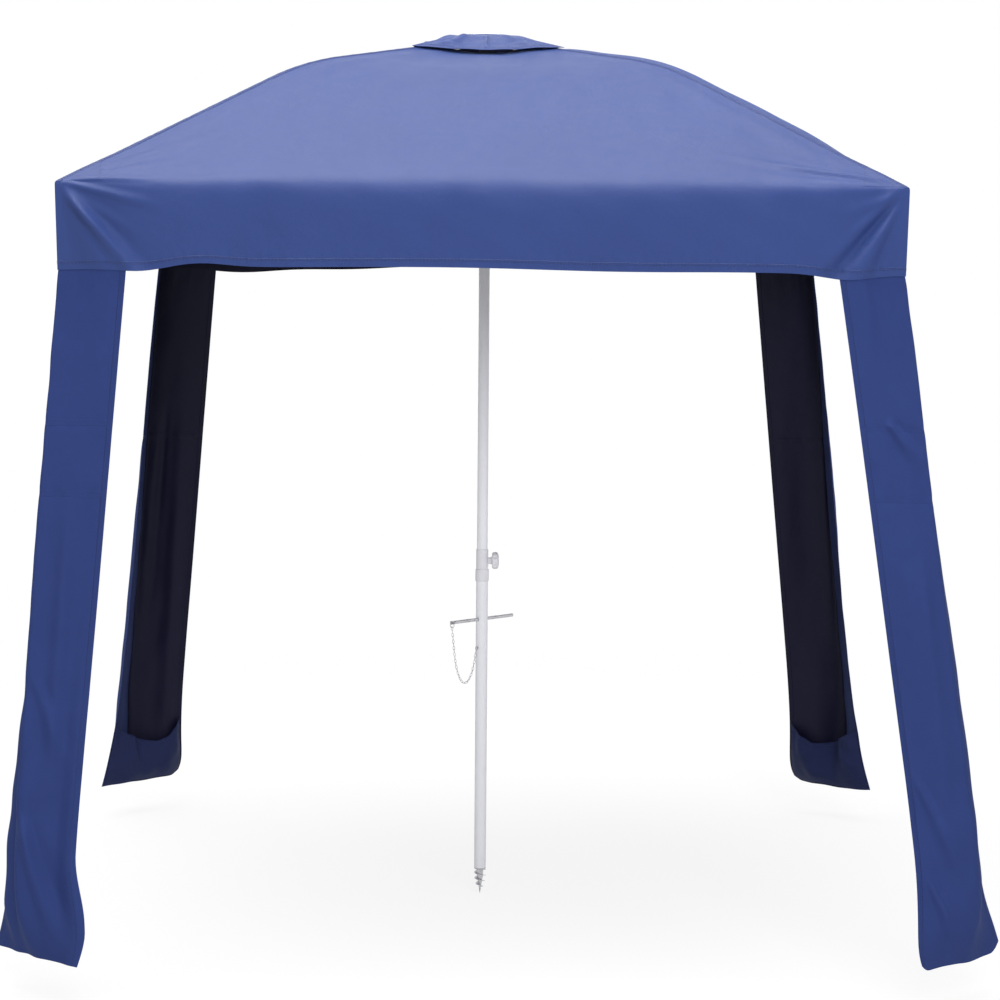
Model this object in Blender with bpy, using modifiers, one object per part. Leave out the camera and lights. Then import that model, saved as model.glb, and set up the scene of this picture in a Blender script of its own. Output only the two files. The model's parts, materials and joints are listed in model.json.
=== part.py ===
"""Beach cabana: a square domed canopy with fabric legs on one planted, telescoping centre pole.

Metres, +Z up. The origin is on the pole's axis at the level of the sand, and the front is -Y.
The canopy folds like an umbrella: a runner, four stretchers and four ribs on a crown hub.
"""

import math

import bmesh
import bpy
from mathutils import Matrix, Vector

# Clearances
SEAT_GAP = 0.0003  # between pieces that rest on each other or are cut for each other
CLOTH_GAP = 0.0005  # between a cloth and what it lies on
MID_GAP = 0.0008  # between two cloth panels that meet halfway along a side
BEND_GAP = 0.00105  # between the canopy and the valance, whose edges face each other askew

# Lower pole and its screw tip
LOWER_POLE_OD = 0.030
LOWER_POLE_WALL = 0.0012
LOWER_POLE_FOOT_Z = -0.0208
LOWER_POLE_TOP_Z = 0.747
AUGER_TIP_Z = -0.089
AUGER_CORE_R = 0.0085
AUGER_FLIGHT_R = 0.0152
AUGER_FLIGHT_THICK = 0.0022
AUGER_PITCH = 0.0145
AUGER_TURNS = 3.2
AUGER_PLUG_LENGTH = 0.035
AUGER_COLLAR_THICK = 0.004
AUGER_CHAMFER = 0.001

# Upper pole
UPPER_POLE_OD = 0.027
UPPER_POLE_WALL = 0.0010
UPPER_POLE_FOOT_Z = 0.640
PLUG_FLANGE = 0.003
PLUG_LENGTH = 0.018

# Height clamp
CLAMP_RING_OD = 0.034
CLAMP_RING_FOOT_Z = 0.7193
CLAMP_BODY_OD = 0.0304
CLAMP_TOP_Z = 0.8013
CLAMP_LIP = 0.0005
CLAMP_RING_RISE = 0.003  # the lower ring's top over the lower tube's mouth
CLAMP_CHAMFER = 0.0006
CLAMP_SCREW_Z = 0.772
CLAMP_SCREW_R = 0.003
CLAMP_BOSS_R = 0.0085
CLAMP_BOSS_LENGTH = 0.0045
KNOB_OD = 0.0436
KNOB_LENGTH = 0.0225
KNOB_NECK_R = 0.0095
KNOB_NECK_LENGTH = 0.005
KNOB_LOBES = 6
KNOB_LOBE_CUT_R = 0.0075
KNOB_FACE = 0.006  # solid left at the knob's outer face, past its screw

# Handle bar through the lower pole, with its ring, chain and eye
BAR_Z = 0.622
BAR_R = 0.0043
BAR_LENGTH = 0.228
BAR_YAW = math.radians(46.9)
BAR_FLAT_LENGTH = 0.013
BAR_FLAT_THICK = 0.004
BAR_HOLE_R = 0.0017
RING_R = 0.0066
RING_WIRE_R = 0.0009
EYE_Z = 0.549
EYE_YAW = math.radians(232.0)
EYE_R = 0.0042
EYE_WIRE_R = 0.0010
EYE_SHANK_R = 0.0016
EYE_SHANK_PROUD = 0.003  # the shank stands this far into the bore
CHAIN_R = 0.0024

# Crown, ribs and stretchers, in the upright plane of a rib: reach is outward from the pole's axis
CROWN_PIN_REACH = 0.024
CROWN_PIN_Z = 2.079
CROWN_FLANGE_R = 0.034
CROWN_FLANGE_RISE = 0.0085
CROWN_FLANGE_DROP = 0.009
CROWN_NECK_R = 0.0175
CROWN_NECK_DROP = 0.045
CROWN_SOCKET_DROP = 0.008
CROWN_WIRE_R = 0.0014
RIB_R = 0.0035
SHOULDER_REACH = 0.60
SHOULDER_Z = 1.994
RIB_BEND_RADIUS = 0.90
RIB_TIP_INSET = 0.0214  # from the corner of the canopy, along the rib
RIB_TIP_Z = 1.7005
TIP_CAP_R = 0.0050
TIP_CAP_LENGTH = 0.020
CAP_CLIMB_FROM = 0.138  # from the rib's tip, where the cloth starts to climb onto the tip cap
CAP_CLIMB_TO = 0.048
CAP_CLIMB = 0.0026
BRACKET_REACH = 0.515
BRACKET_DROP = 0.012
BRACKET_LENGTH = 0.030
BRACKET_WALL = 0.0016
BRACKET_OPEN = 0.0012  # the clip is open above this height over the rib's middle
EAR_HALF = 0.0045
EAR_SLOT_HALF = 0.020
EAR_SLOT_DROP = 0.006
EAR_ROOF = 0.0008  # left between the ears' slot and the rib
EYELET_R = 0.0045
EYELET_THICK = 0.0040
TONGUE_THICK = 0.0036
TONGUE_HALF_HEIGHT = 0.0032
TONGUE_LENGTH = 0.016
STRETCHER_TONGUE_LENGTH = 0.014
STRETCHER_TONGUE_HALF_HEIGHT = 0.0028
STRETCHER_ROD_INSET = 0.011
SLOT_SIDE_GAP = 0.0004
PIN_R = 0.0015
PIN_LENGTH = 0.0130
STRETCHER_R = 0.0030
STRETCHER_EYE_R = 0.0040

# Runner on the upper pole and the catch that holds it up
RUNNER_SLEEVE_R = 0.0180
RUNNER_LENGTH = 0.060
RUNNER_FLANGE_R = 0.0325
RUNNER_FLANGE_RISE = 0.009
RUNNER_FLANGE_DROP = 0.0045
RUNNER_GRIP_R = 0.0195
CATCH_R = 0.003
CATCH_PROUD = 0.003
CATCH_LENGTH = 0.008

# Canopy, vent cap and finial
CANOPY_HALF = 0.935  # a corner of the canopy from the pole's axis, along X and along Y
EDGE_BOW = 0.045  # how far the edge draws in halfway between two corners
GORE_SAG = 0.010  # how far a gore sinks halfway between two ribs, at the canopy's edge
VENT_SAG = 0.020  # the same at the vent opening
HEM_BEND_MID = 0.048  # the soft bend into the valance, halfway along a side
HEM_BEND_CORNER = 0.002
HEM_Z = 1.508  # lower edge of the valance at a corner
HEM_RISE = 0.0135  # how much higher the lower edge is halfway along a side
VALANCE_LEAN = 0.0045  # how far the valance's lower edge stands in from its upper one at a corner
VALANCE_FOLD = 0.004
VALANCE_WAVES = 9.0  # radians of the valance's waves from the middle of a side to a corner
CLOTH = 0.0016
VENT_OPENING_HALF = 0.12
VENT_CAP_HALF = 0.177
VENT_CAP_BOW = 0.016
VENT_CAP_TOP_Z = 2.0945
VENT_CAP_MID_Z = 2.0485
VENT_CAP_FLAT = 0.20  # share of the cap that lies level under the finial
VENT_CAP_LIFT = 0.004  # the cap's corner stands up from the canopy by this
VENT_CAP_HOLE_HALF = 0.006
FINIAL_R = 0.034
FINIAL_HEIGHT = 0.0170
FINIAL_STEM_R = 0.004

# Legs and sand pockets
LEG_STRIP = 0.283  # width of the flat strip of cloth that a leg is cut from
LEG_SPLAY = 0.1697  # how far a leg runs out from its corner down to the foot, along X and along Y
FOOT_FLARE = 0.0340  # how much further out the foot flares
FOOT_SWAY = {"front_left": 0.058, "front_right": 0.033, "back_left": 0.029, "back_right": -0.010}
LEG_SKEW = {"front_left": -0.054, "front_right": 0.013, "back_left": 0.134, "back_right": -0.162}
LEG_FOLD = 0.007
LEG_BEND = 0.15  # softness of the fold down the leg, as a share of half the strip
FOLD_FADE = 1.2  # the leg's waves fade out at this many times its length
POCKET_HEIGHT = 0.180
POCKET_MOUTH_DIP = 0.030
POCKET_DEPTH = 0.060
POCKET_WIDTH = 0.269
POCKET_FOOT_Z = 0.003
POCKET_SEAM_GAP = 0.0037

# Corner name and the direction of its rib, as a compass angle in plan
CORNERS = {
    "front_left": math.radians(225),
    "front_right": math.radians(315),
    "back_left": math.radians(135),
    "back_right": math.radians(45),
}

# Route of the chain from the ring to the eye, points chosen along its hanging line
CHAIN_ROUTE = [
    (-0.0743, -0.0793, 0.6074),
    (-0.0725, -0.0790, 0.5905),
    (-0.0702, -0.0768, 0.5660),
    (-0.0675, -0.0738, 0.5380),
    (-0.0640, -0.0705, 0.5130),
    (-0.0590, -0.0660, 0.4915),
    (-0.0525, -0.0600, 0.4745),
    (-0.0450, -0.0530, 0.4655),
    (-0.0370, -0.0455, 0.4660),
    (-0.0300, -0.0385, 0.4745),
    (-0.0240, -0.0325, 0.4890),
    (-0.0195, -0.0280, 0.5070),
    (-0.0165, -0.0245, 0.5260),
    (-0.0148, -0.0225, 0.5395),
]

# Worked out from the sizes above
ROOT2 = math.sqrt(2)
CORNER_REACH = CANOPY_HALF * ROOT2
RIB_TIP_REACH = CORNER_REACH - RIB_TIP_INSET
INNER_SLOPE = (CROWN_PIN_Z - SHOULDER_Z) / (SHOULDER_REACH - CROWN_PIN_REACH)
OUTER_SLOPE = (SHOULDER_Z - RIB_TIP_Z) / (RIB_TIP_REACH - SHOULDER_REACH)
INNER_TILT = math.atan(INNER_SLOPE)
OUTER_TILT = math.atan(OUTER_SLOPE)
BEND_TANGENT = RIB_BEND_RADIUS * math.tan((OUTER_TILT - INNER_TILT) / 2)
PIN_HOLE_R = PIN_R + SEAT_GAP
BORE_R = UPPER_POLE_OD / 2 + SEAT_GAP


def between(start, end, share):
    """A value at a share of the way from one to another."""
    return start + (end - start) * share


def cloth_rows():
    """Distances from the pole's axis at which both the rib and the cloth over it have their bends."""
    vent = VENT_OPENING_HALF * ROOT2
    clip_from = BRACKET_REACH - BRACKET_LENGTH / 2
    clip_to = BRACKET_REACH + BRACKET_LENGTH / 2
    climb_from = RIB_TIP_REACH - CAP_CLIMB_FROM
    climb_to = RIB_TIP_REACH - CAP_CLIMB_TO
    rows = [vent, between(vent, clip_from, 0.4), between(vent, clip_from, 0.75), clip_from, clip_to]
    rows += [between(clip_to, climb_from, share) for share in (0.11, 0.2, 0.3, 0.5, 0.75)]
    return rows + [climb_from, climb_to, CORNER_REACH]


def rib_height(reach):
    """Height of a rib's middle line at a distance from the pole's axis."""
    start = SHOULDER_REACH - BEND_TANGENT * math.cos(INNER_TILT)
    end = SHOULDER_REACH + BEND_TANGENT * math.cos(OUTER_TILT)
    if reach <= start:
        return CROWN_PIN_Z - INNER_SLOPE * (reach - CROWN_PIN_REACH)
    if reach >= end:
        return RIB_TIP_Z + OUTER_SLOPE * (RIB_TIP_REACH - reach)
    centre_reach = start - RIB_BEND_RADIUS * math.sin(INNER_TILT)
    centre_z = CROWN_PIN_Z - INNER_SLOPE * (start - CROWN_PIN_REACH)
    centre_z -= RIB_BEND_RADIUS * math.cos(INNER_TILT)
    return centre_z + math.sqrt(RIB_BEND_RADIUS**2 - (reach - centre_reach) ** 2)


def cloth_rise(reach):
    """How far the cloth's middle lies above the rib's, on a ridge whose two sides slope down."""
    slope = INNER_SLOPE if reach < SHOULDER_REACH else OUTER_SLOPE
    inward = RIB_TIP_REACH - reach
    climb = min(max((CAP_CLIMB_FROM - inward) / (CAP_CLIMB_FROM - CAP_CLIMB_TO), 0), 1)
    touch = RIB_R + CAP_CLIMB * climb + CLOTH / 2 + CLOTH_GAP
    return touch * math.sqrt(1 + 2 * slope**2)


BRACKET_PIN_Z = rib_height(BRACKET_REACH) - BRACKET_DROP
RUNNER_PIN_Z = 2 * BRACKET_PIN_Z - CROWN_PIN_Z  # equal arms above and below the bracket
RUNNER_FOOT_Z = RUNNER_PIN_Z + RUNNER_FLANGE_RISE - RUNNER_LENGTH
CATCH_Z = RUNNER_FOOT_Z - SEAT_GAP - CATCH_R


for old in list(bpy.data.objects):
    bpy.data.objects.remove(old, do_unlink=True)

parts = bpy.data.collections.new("beach_cabana")
cutters = bpy.data.collections.new("cutters")
bpy.context.scene.collection.children.link(parts)
bpy.context.scene.collection.children.link(cutters)


def material(name, colour, roughness, metallic=0.0):
    """A Principled material."""
    made = bpy.data.materials.new(name)
    made.use_nodes = True
    shader = made.node_tree.nodes["Principled BSDF"]
    shader.inputs["Base Color"].default_value = (*colour, 1.0)
    shader.inputs["Roughness"].default_value = roughness
    shader.inputs["Metallic"].default_value = metallic
    made.diffuse_color = (*colour, 1.0)
    return made


NAVY_CLOTH = (0.045, 0.065, 0.20)
WHITE_PAINT = (0.80, 0.80, 0.86)
WHITE_PLASTIC = (0.84, 0.84, 0.88)
STEEL = (0.50, 0.50, 0.53)
ROD_GREY = (0.62, 0.62, 0.64)
BLACK_PLASTIC = (0.03, 0.03, 0.035)


def empty(name, location, yaw=0.0, parent=None):
    """An empty on a joint's axis, which the pieces of one body are parented to."""
    made = bpy.data.objects.new(name, None)
    made.empty_display_size = 0.05
    made.location = location
    made.rotation_euler = (0, 0, yaw)
    parts.objects.link(made)
    if parent is not None:
        made.parent = parent
    return made


def add(name, data, look, parent=None):
    """An object from a mesh or curve whose points are measured from the parent's own origin."""
    made = bpy.data.objects.new(name, data)
    parts.objects.link(made)
    made.data.materials.append(material(name, *look))
    made.parent = parent
    return made


def mesh_of(build):
    """A mesh filled by a function that works on a bmesh."""
    data = bpy.data.meshes.new("shape")
    work = bmesh.new()
    build(work)
    work.to_mesh(data)
    work.free()
    return data


def smooth(data, angle=35.0):
    """Smooth shading with sharp edges kept."""
    data.shade_smooth()
    data.set_sharp_from_angle(angle=math.radians(angle))


def turned(name, profile, look, parent=None, steps=24, axis_place=Matrix(), closed=True):
    """A turned piece: a profile of (radius, height) points, down its outer side, round Z."""
    data = bpy.data.meshes.new(name)
    edges = [(i, i + 1) for i in range(len(profile) - 1)]
    if closed:
        edges.append((len(profile) - 1, 0))
    data.from_pydata([(r, 0, z) for r, z in profile], edges, [])
    made = add(name, data, look, parent)
    screw = made.modifiers.new("turn", "SCREW")
    screw.steps = steps
    screw.render_steps = steps
    screw.use_merge_vertices = True
    screw.merge_threshold = 0.00001
    screw.use_normal_calculate = closed
    made.matrix_local = axis_place @ made.matrix_local
    return made


def applied(item, name=None):
    """The object's evaluated mesh as a plain mesh, in its parent's frame."""
    bpy.context.view_layer.update()
    source = item.evaluated_get(bpy.context.evaluated_depsgraph_get())
    data = bpy.data.meshes.new_from_object(source)
    data.transform(item.matrix_local)
    work = bmesh.new()
    work.from_mesh(data)
    bmesh.ops.remove_doubles(work, verts=work.verts, dist=0.00001)
    bmesh.ops.recalc_face_normals(work, faces=work.faces)
    work.to_mesh(data)
    work.free()
    data.name = name or item.name
    return data


def tube_path(name, points, radius, look, parent=None, sides=3, taper=None):
    """A round bar along points: a bevelled POLY curve with filled caps."""
    data = bpy.data.curves.new(name, "CURVE")
    data.dimensions = "3D"
    data.bevel_depth = radius
    data.bevel_resolution = sides
    data.use_fill_caps = True
    line = data.splines.new("POLY")
    line.points.add(len(points) - 1)
    for spot, place in zip(line.points, points):
        spot.co = (*place, 1.0)
    if taper:
        for spot, share in zip(line.points, taper):
            spot.radius = share
    return add(name, data, look, parent)


def solid_bar(start, end, radius, sides=16):
    """A straight round cutter or bar between two points, as a mesh."""
    start, end = Vector(start), Vector(end)
    turn = (end - start).to_track_quat("Z", "Y").to_matrix().to_4x4()
    place = Matrix.Translation((start + end) / 2) @ turn

    def build(work):
        bmesh.ops.create_cone(
            work, cap_ends=True, segments=sides, radius1=radius, radius2=radius,
            depth=(end - start).length, matrix=place,
        )

    return mesh_of(build)


def box_mesh(low, high):
    """A box between two corners, as a mesh."""
    low, high = Vector(low), Vector(high)

    def build(work):
        bmesh.ops.create_cube(work, size=1.0)
        bmesh.ops.scale(work, vec=high - low, verts=work.verts)
        bmesh.ops.translate(work, vec=(low + high) / 2, verts=work.verts)

    return mesh_of(build)


def boolean(item, tool_mesh, operation, label):
    """Cuts or joins an object with a mesh that is kept among the cutters."""
    tool = bpy.data.objects.new(f"{item.name}_{label}", tool_mesh)
    cutters.objects.link(tool)
    tool.parent = item.parent
    tool.matrix_local = Matrix()
    tool.hide_render = True
    tool.display_type = "WIRE"
    step = item.modifiers.new(label, "BOOLEAN")
    step.operation = operation
    step.solver = "EXACT"
    step.object = tool
    return tool


def cut(item, tool_mesh, label):
    """Takes a shape away from an object."""
    boolean(item, tool_mesh, "DIFFERENCE", label)


def join(item, tool_mesh, label):
    """Adds a shape to an object."""
    boolean(item, tool_mesh, "UNION", label)


def as_mesh_object(item, look):
    """Turns a curve or modified object into a plain mesh object that can take Booleans."""
    name, parent = item.name, item.parent
    data = applied(item)
    bpy.data.objects.remove(item, do_unlink=True)
    return add(name, data, look, parent)


def rib_frame(x, y):
    """Reach along the rib and sideways place, for a plan point of the corner at (+X, +Y)."""
    return (x + y) / ROOT2, (y - x) / ROOT2


def soft_step(distance, bend):
    """Zero before a bend and the distance after it, with a smooth change."""
    return (distance + math.sqrt(distance**2 + bend**2)) / 2


def cloth_object(name, point, across, rows, look, parent, origin):
    """A cloth: a grid whose points a function places in the rib's frame, given a thickness."""

    def build(work):
        bmesh.ops.create_grid(work, x_segments=across, y_segments=len(rows) - 1, size=1.0)
        for vertex in work.verts:
            row = round((vertex.co.y + 1) / 2 * (len(rows) - 1))
            vertex.co = point(vertex.co.x, rows[row])
        bmesh.ops.recalc_face_normals(work, faces=work.faces)

    made = add(name, mesh_of(build), look, parent)
    made.data.transform(Matrix.Translation(-Vector(origin)))
    made.data.shade_smooth()
    wall = made.modifiers.new("thickness", "SOLIDIFY")
    wall.thickness = CLOTH
    wall.offset = 0.0
    wall.use_even_offset = True
    return made


def even_rows(count):
    """Shares from 0 to 1 for a number of even steps."""
    return [i / count for i in range(count + 1)]


def side_point(a, place):
    """A plan point on the corner's two sides, a from -1 to 1, with the rib at 0.

    place gives (distance from the axis, height) for a share u, which is 1 at the rib and 0
    halfway along the side.
    """
    share = 1 - abs(a)
    out, z = place(share)
    along = max(out * share, MID_GAP / 2)
    x, y = (along, out) if a >= 0 else (out, along)
    reach, aside = rib_frame(x, y)
    return Vector((reach, aside, z))


def roof_height(out, share):
    """Height of the canopy's cloth at a distance from the axis along its side's normal."""
    reach = out * ROOT2
    sag = VENT_SAG + (GORE_SAG - VENT_SAG) * out / CANOPY_HALF
    return rib_height(reach) + cloth_rise(reach) - sag * (1 - share**2)


LEAN_SLOPE = VALANCE_LEAN / (roof_height(CANOPY_HALF, 1) - HEM_Z)


def edge_out(share):
    """Distance from the axis to the canopy's edge, which bows in between the corners."""
    return CANOPY_HALF - EDGE_BOW * (1 - share**2)


def bend_size(share):
    """Size of the bend from roof to valance."""
    return HEM_BEND_CORNER + (HEM_BEND_MID - HEM_BEND_CORNER) * (1 - share**2)


def skirt(share, distance):
    """Place on the roof before the edge (distance < 0) or down the valance (distance > 0)."""
    inward = soft_step(-distance, bend_size(share))
    down = soft_step(distance, bend_size(share))
    out = edge_out(share) - inward
    return out - LEAN_SLOPE * down, roof_height(out, share) - down


def hem_distance(share):
    """Distance down the valance at which its lower edge lies."""
    hem_z = HEM_Z + HEM_RISE * (1 - share**2)
    return roof_height(edge_out(share), share) - hem_z


HEM_HALF = skirt(1, hem_distance(1))[0]


def canopy_point(a, b):
    """The roof of one corner, b from 0 at the vent opening to 1 at the bend."""

    def place(share):
        length = edge_out(share) - VENT_OPENING_HALF
        return skirt(share, -length * (1 - b))

    return side_point(a, place)


def valance_point(a, b):
    """The valance of one corner, b from 0 at the bend to 1 at the lower edge."""

    def place(share):
        out, z = skirt(share, BEND_GAP + (hem_distance(share) - BEND_GAP) * b)
        wave = math.sin(VALANCE_WAVES * share) * (1 - share**2) * share
        return out + VALANCE_FOLD * wave * b, z

    return side_point(a, place)


def vent_point(a, b):
    """The vent cap of one corner, b from 0 at the finial to 1 at its edge."""

    def place(share):
        edge = VENT_CAP_HALF - VENT_CAP_BOW * (1 - share**2)
        out = VENT_CAP_HOLE_HALF + (edge - VENT_CAP_HOLE_HALF) * b
        corner_z = roof_height(VENT_CAP_HALF, 1) + CLOTH + VENT_CAP_LIFT
        edge_z = VENT_CAP_MID_Z + (corner_z - VENT_CAP_MID_Z) * share**2
        fall = max(b - VENT_CAP_FLAT, 0) / (1 - VENT_CAP_FLAT)
        return out, VENT_CAP_TOP_Z - (VENT_CAP_TOP_Z - edge_z) * fall**1.2

    return side_point(a, place)


def leg_place(a, t, corner_name):
    """A point of a leg: a from -1 to 1 across the strip, t from 0 at the top to 1 at the foot."""
    yaw, sway = CORNERS[corner_name], FOOT_SWAY[corner_name]
    flat = t**11  # 0 where it wraps the corner, 1 where it lies flat across it at the foot
    arm = LEG_STRIP / 2 / math.hypot(1 - flat / 2, flat / 2)
    bend = LEG_BEND * t
    corner = HEM_HALF + LEG_SPLAY * t + FOOT_FLARE * t**8
    past = a - LEG_SKEW[corner_name]  # place across the strip from the fold
    one = (1 - flat) * (soft_step(past, bend) - bend**2 / 4) + flat * (1 + a) / 2
    two = (1 - flat) * (soft_step(-past, bend) - bend**2 / 4) + flat * (1 - a) / 2
    x, y = corner - arm * one, corner - arm * two
    top_share = 1 - abs(past) * LEG_STRIP / 2 / HEM_HALF
    top_out, hem_z = skirt(top_share, hem_distance(top_share))
    hang = (1 - t) ** 4
    drawn = (HEM_HALF - top_out) * hang
    x, y = (x, y - drawn) if past >= 0 else (x - drawn, y)
    wave = math.sin(5.2 * a + 1.5 * t) * math.cos(1.6 * a) * LEG_FOLD * t * (FOLD_FADE - t)
    reach, aside = rib_frame(x, y)
    reach += wave + sway * t * math.cos(yaw)
    aside -= sway * t * math.sin(yaw)
    top_z = hem_z - CLOTH_GAP
    return Vector((reach, aside, top_z + (CLOTH / 2 - top_z) * t))


def pocket_place(a, b, corner_name):
    """A point of a sand pocket, b from 0 at the foot to 1 at its open mouth."""
    mouth = POCKET_HEIGHT - POCKET_MOUTH_DIP * (1 - a**2)
    z = POCKET_FOOT_Z + (mouth - POCKET_FOOT_Z) * b
    t = 1 - z / HEM_Z
    spot = leg_place(a * POCKET_WIDTH / LEG_STRIP, t, corner_name)
    fill = (1 - (1 - b) ** 3) * (1 - 0.25 * b**2)
    inward = POCKET_SEAM_GAP + POCKET_DEPTH * (1 - a**2) ** 0.8 * fill
    return Vector((spot.x - inward, spot.y, z))


def make_lower_pole(root):
    """Lower tube with its cross hole for the handle bar and the hole of the chain's eye."""
    outer, bore = LOWER_POLE_OD / 2, LOWER_POLE_OD / 2 - LOWER_POLE_WALL
    profile = [
        (outer, LOWER_POLE_TOP_Z), (outer, LOWER_POLE_FOOT_Z),
        (bore, LOWER_POLE_FOOT_Z), (bore, LOWER_POLE_TOP_Z),
    ]
    tube = turned("lower_pole", profile, (WHITE_PAINT, 0.35), root)
    along = Vector((math.cos(BAR_YAW), math.sin(BAR_YAW), 0)) * LOWER_POLE_OD
    middle = Vector((0, 0, BAR_Z))
    cut(tube, solid_bar(middle - along, middle + along, BAR_R + SEAT_GAP, 20), "bar_hole")
    out = Vector((math.cos(EYE_YAW), math.sin(EYE_YAW), 0))
    wall = Vector((0, 0, EYE_Z)) + out * outer
    cut(tube, solid_bar(wall - out * 0.004, wall + out * 0.004, EYE_SHANK_R + SEAT_GAP, 12), "eye_hole")


def helical_blade():
    """A screw flight round Z: a blade of four-cornered sections joined round a rising turn."""
    steps_per_turn = 14
    count = round(AUGER_TURNS * steps_per_turn)
    top = LOWER_POLE_FOOT_Z - AUGER_COLLAR_THICK - AUGER_FLIGHT_THICK

    def build(work):
        rings = []
        for i in range(count + 1):
            share = i / count
            turn = 2 * math.pi * i / steps_per_turn
            z = top - AUGER_PITCH * i / steps_per_turn
            outer = AUGER_FLIGHT_R * (1 - 0.55 * share**3)
            inner = core_radius(z) * 0.5
            half = AUGER_FLIGHT_THICK / 2
            edge = half * 0.5
            section = (inner, half), (outer, edge), (outer, -edge), (inner, -half)
            ring = []
            for radius, rise in section:
                spot = radius * math.cos(turn), radius * math.sin(turn), z + rise
                ring.append(work.verts.new(spot))
            rings.append(ring)
        for above, below in zip(rings, rings[1:]):
            for k in range(4):
                work.faces.new((above[k], above[(k + 1) % 4], below[(k + 1) % 4], below[k]))
        work.faces.new(rings[0])
        work.faces.new(rings[-1])
        bmesh.ops.recalc_face_normals(work, faces=work.faces)

    return mesh_of(build)


def core_radius(z):
    """Radius of the screw tip's tapered core."""
    top = LOWER_POLE_FOOT_Z - AUGER_COLLAR_THICK
    share = (z - AUGER_TIP_Z) / (top - AUGER_TIP_Z)
    return max(0.0006, AUGER_CORE_R * min(1.0, share * 1.3))


def make_auger(root):
    """Screw tip: a plug in the tube's foot, a collar, a tapered core and its spiral flight."""
    plug_r = LOWER_POLE_OD / 2 - LOWER_POLE_WALL - SEAT_GAP
    collar_top = LOWER_POLE_FOOT_Z - SEAT_GAP
    core_top = LOWER_POLE_FOOT_Z - AUGER_COLLAR_THICK
    turn_z = AUGER_TIP_Z + (core_top - AUGER_TIP_Z) / 1.3
    profile = [
        (0, LOWER_POLE_FOOT_Z + AUGER_PLUG_LENGTH),
        (plug_r - AUGER_CHAMFER, LOWER_POLE_FOOT_Z + AUGER_PLUG_LENGTH),
        (plug_r, LOWER_POLE_FOOT_Z + AUGER_PLUG_LENGTH - AUGER_CHAMFER),
        (plug_r, collar_top),
        (LOWER_POLE_OD / 2, collar_top),
        (LOWER_POLE_OD / 2, core_top + AUGER_CHAMFER),
        (LOWER_POLE_OD / 2 - AUGER_CHAMFER, core_top),
        (AUGER_CORE_R, core_top),
        (AUGER_CORE_R, turn_z),
        (0, AUGER_TIP_Z),
    ]
    tip = turned("auger_tip", profile, (STEEL, 0.35, 1.0), root, steps=16, closed=False)
    join(tip, helical_blade(), "flight")


def make_clamp(root):
    """Height clamp: a collar that seats on the lower tube's mouth and guides the upper tube."""
    ring_bore = LOWER_POLE_OD / 2 + SEAT_GAP
    body = CLAMP_BODY_OD / 2
    ring = CLAMP_RING_OD / 2
    ring_top = LOWER_POLE_TOP_Z + CLAMP_RING_RISE
    seat_z = LOWER_POLE_TOP_Z + SEAT_GAP
    profile = [
        (body - CLAMP_LIP, CLAMP_TOP_Z), (body, CLAMP_TOP_Z - CLAMP_LIP),
        (body, ring_top + 0.001), (ring - CLAMP_CHAMFER, ring_top), (ring, ring_top - CLAMP_CHAMFER),
        (ring, CLAMP_RING_FOOT_Z + CLAMP_CHAMFER), (ring - CLAMP_CHAMFER, CLAMP_RING_FOOT_Z),
        (ring_bore, CLAMP_RING_FOOT_Z), (ring_bore, seat_z), (BORE_R, seat_z),
        (BORE_R, CLAMP_TOP_Z),
    ]
    collar = turned("clamp_collar", profile, (WHITE_PLASTIC, 0.4), root)
    boss_end = body + CLAMP_BOSS_LENGTH
    start = (body - 0.0008, 0, CLAMP_SCREW_Z)
    join(collar, solid_bar(start, (boss_end, 0, CLAMP_SCREW_Z), CLAMP_BOSS_R, 24), "boss")
    inner = (UPPER_POLE_OD / 2 - 0.002, 0, CLAMP_SCREW_Z)
    hole = CLAMP_SCREW_R + SEAT_GAP
    cut(collar, solid_bar(inner, (boss_end + 0.002, 0, CLAMP_SCREW_Z), hole, 16), "screw_hole")


def make_clamp_knob(root):
    """Lobed hand knob on its screw, turning about an axis along X."""
    knob = empty("clamp_knob_axis", (0, 0, CLAMP_SCREW_Z), parent=root)
    start = CLAMP_BODY_OD / 2 + CLAMP_BOSS_LENGTH + SEAT_GAP
    end = start + KNOB_LENGTH
    neck = start + KNOB_NECK_LENGTH
    radius = KNOB_OD / 2
    bore = CLAMP_SCREW_R + SEAT_GAP
    depth = end - KNOB_FACE
    on_x = Matrix.Rotation(math.radians(90), 4, "Y")
    profile = [
        (0, end), (radius * 0.55, end - 0.0003), (radius - 0.004, end - 0.0018),
        (radius - 0.001, end - 0.004), (radius, end - 0.008),
        (radius - 0.0006, neck + 0.003), (radius - 0.004, neck),
        (KNOB_NECK_R, neck - 0.0006), (KNOB_NECK_R, start),
        (bore, start), (bore, depth), (0, depth),
    ]
    look = (WHITE_PLASTIC, 0.4)
    head = turned("clamp_knob", profile, look, knob, steps=30, axis_place=on_x, closed=False)
    head = as_mesh_object(head, look)
    for i in range(KNOB_LOBES):
        turn = 2 * math.pi * (i + 0.5) / KNOB_LOBES
        far = radius + KNOB_LOBE_CUT_R * 0.72
        y, z = far * math.cos(turn), far * math.sin(turn)
        flute = solid_bar((neck - 0.002, y, z), (end + 0.002, y, z), KNOB_LOBE_CUT_R, 16)
        cut(head, flute, f"flute_{i}")
    inner = UPPER_POLE_OD / 2 + SEAT_GAP
    screw_mesh = solid_bar((inner, 0, 0), (depth - SEAT_GAP, 0, 0), CLAMP_SCREW_R, 16)
    add("clamp_screw", screw_mesh, (STEEL, 0.3, 1.0), knob)


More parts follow.
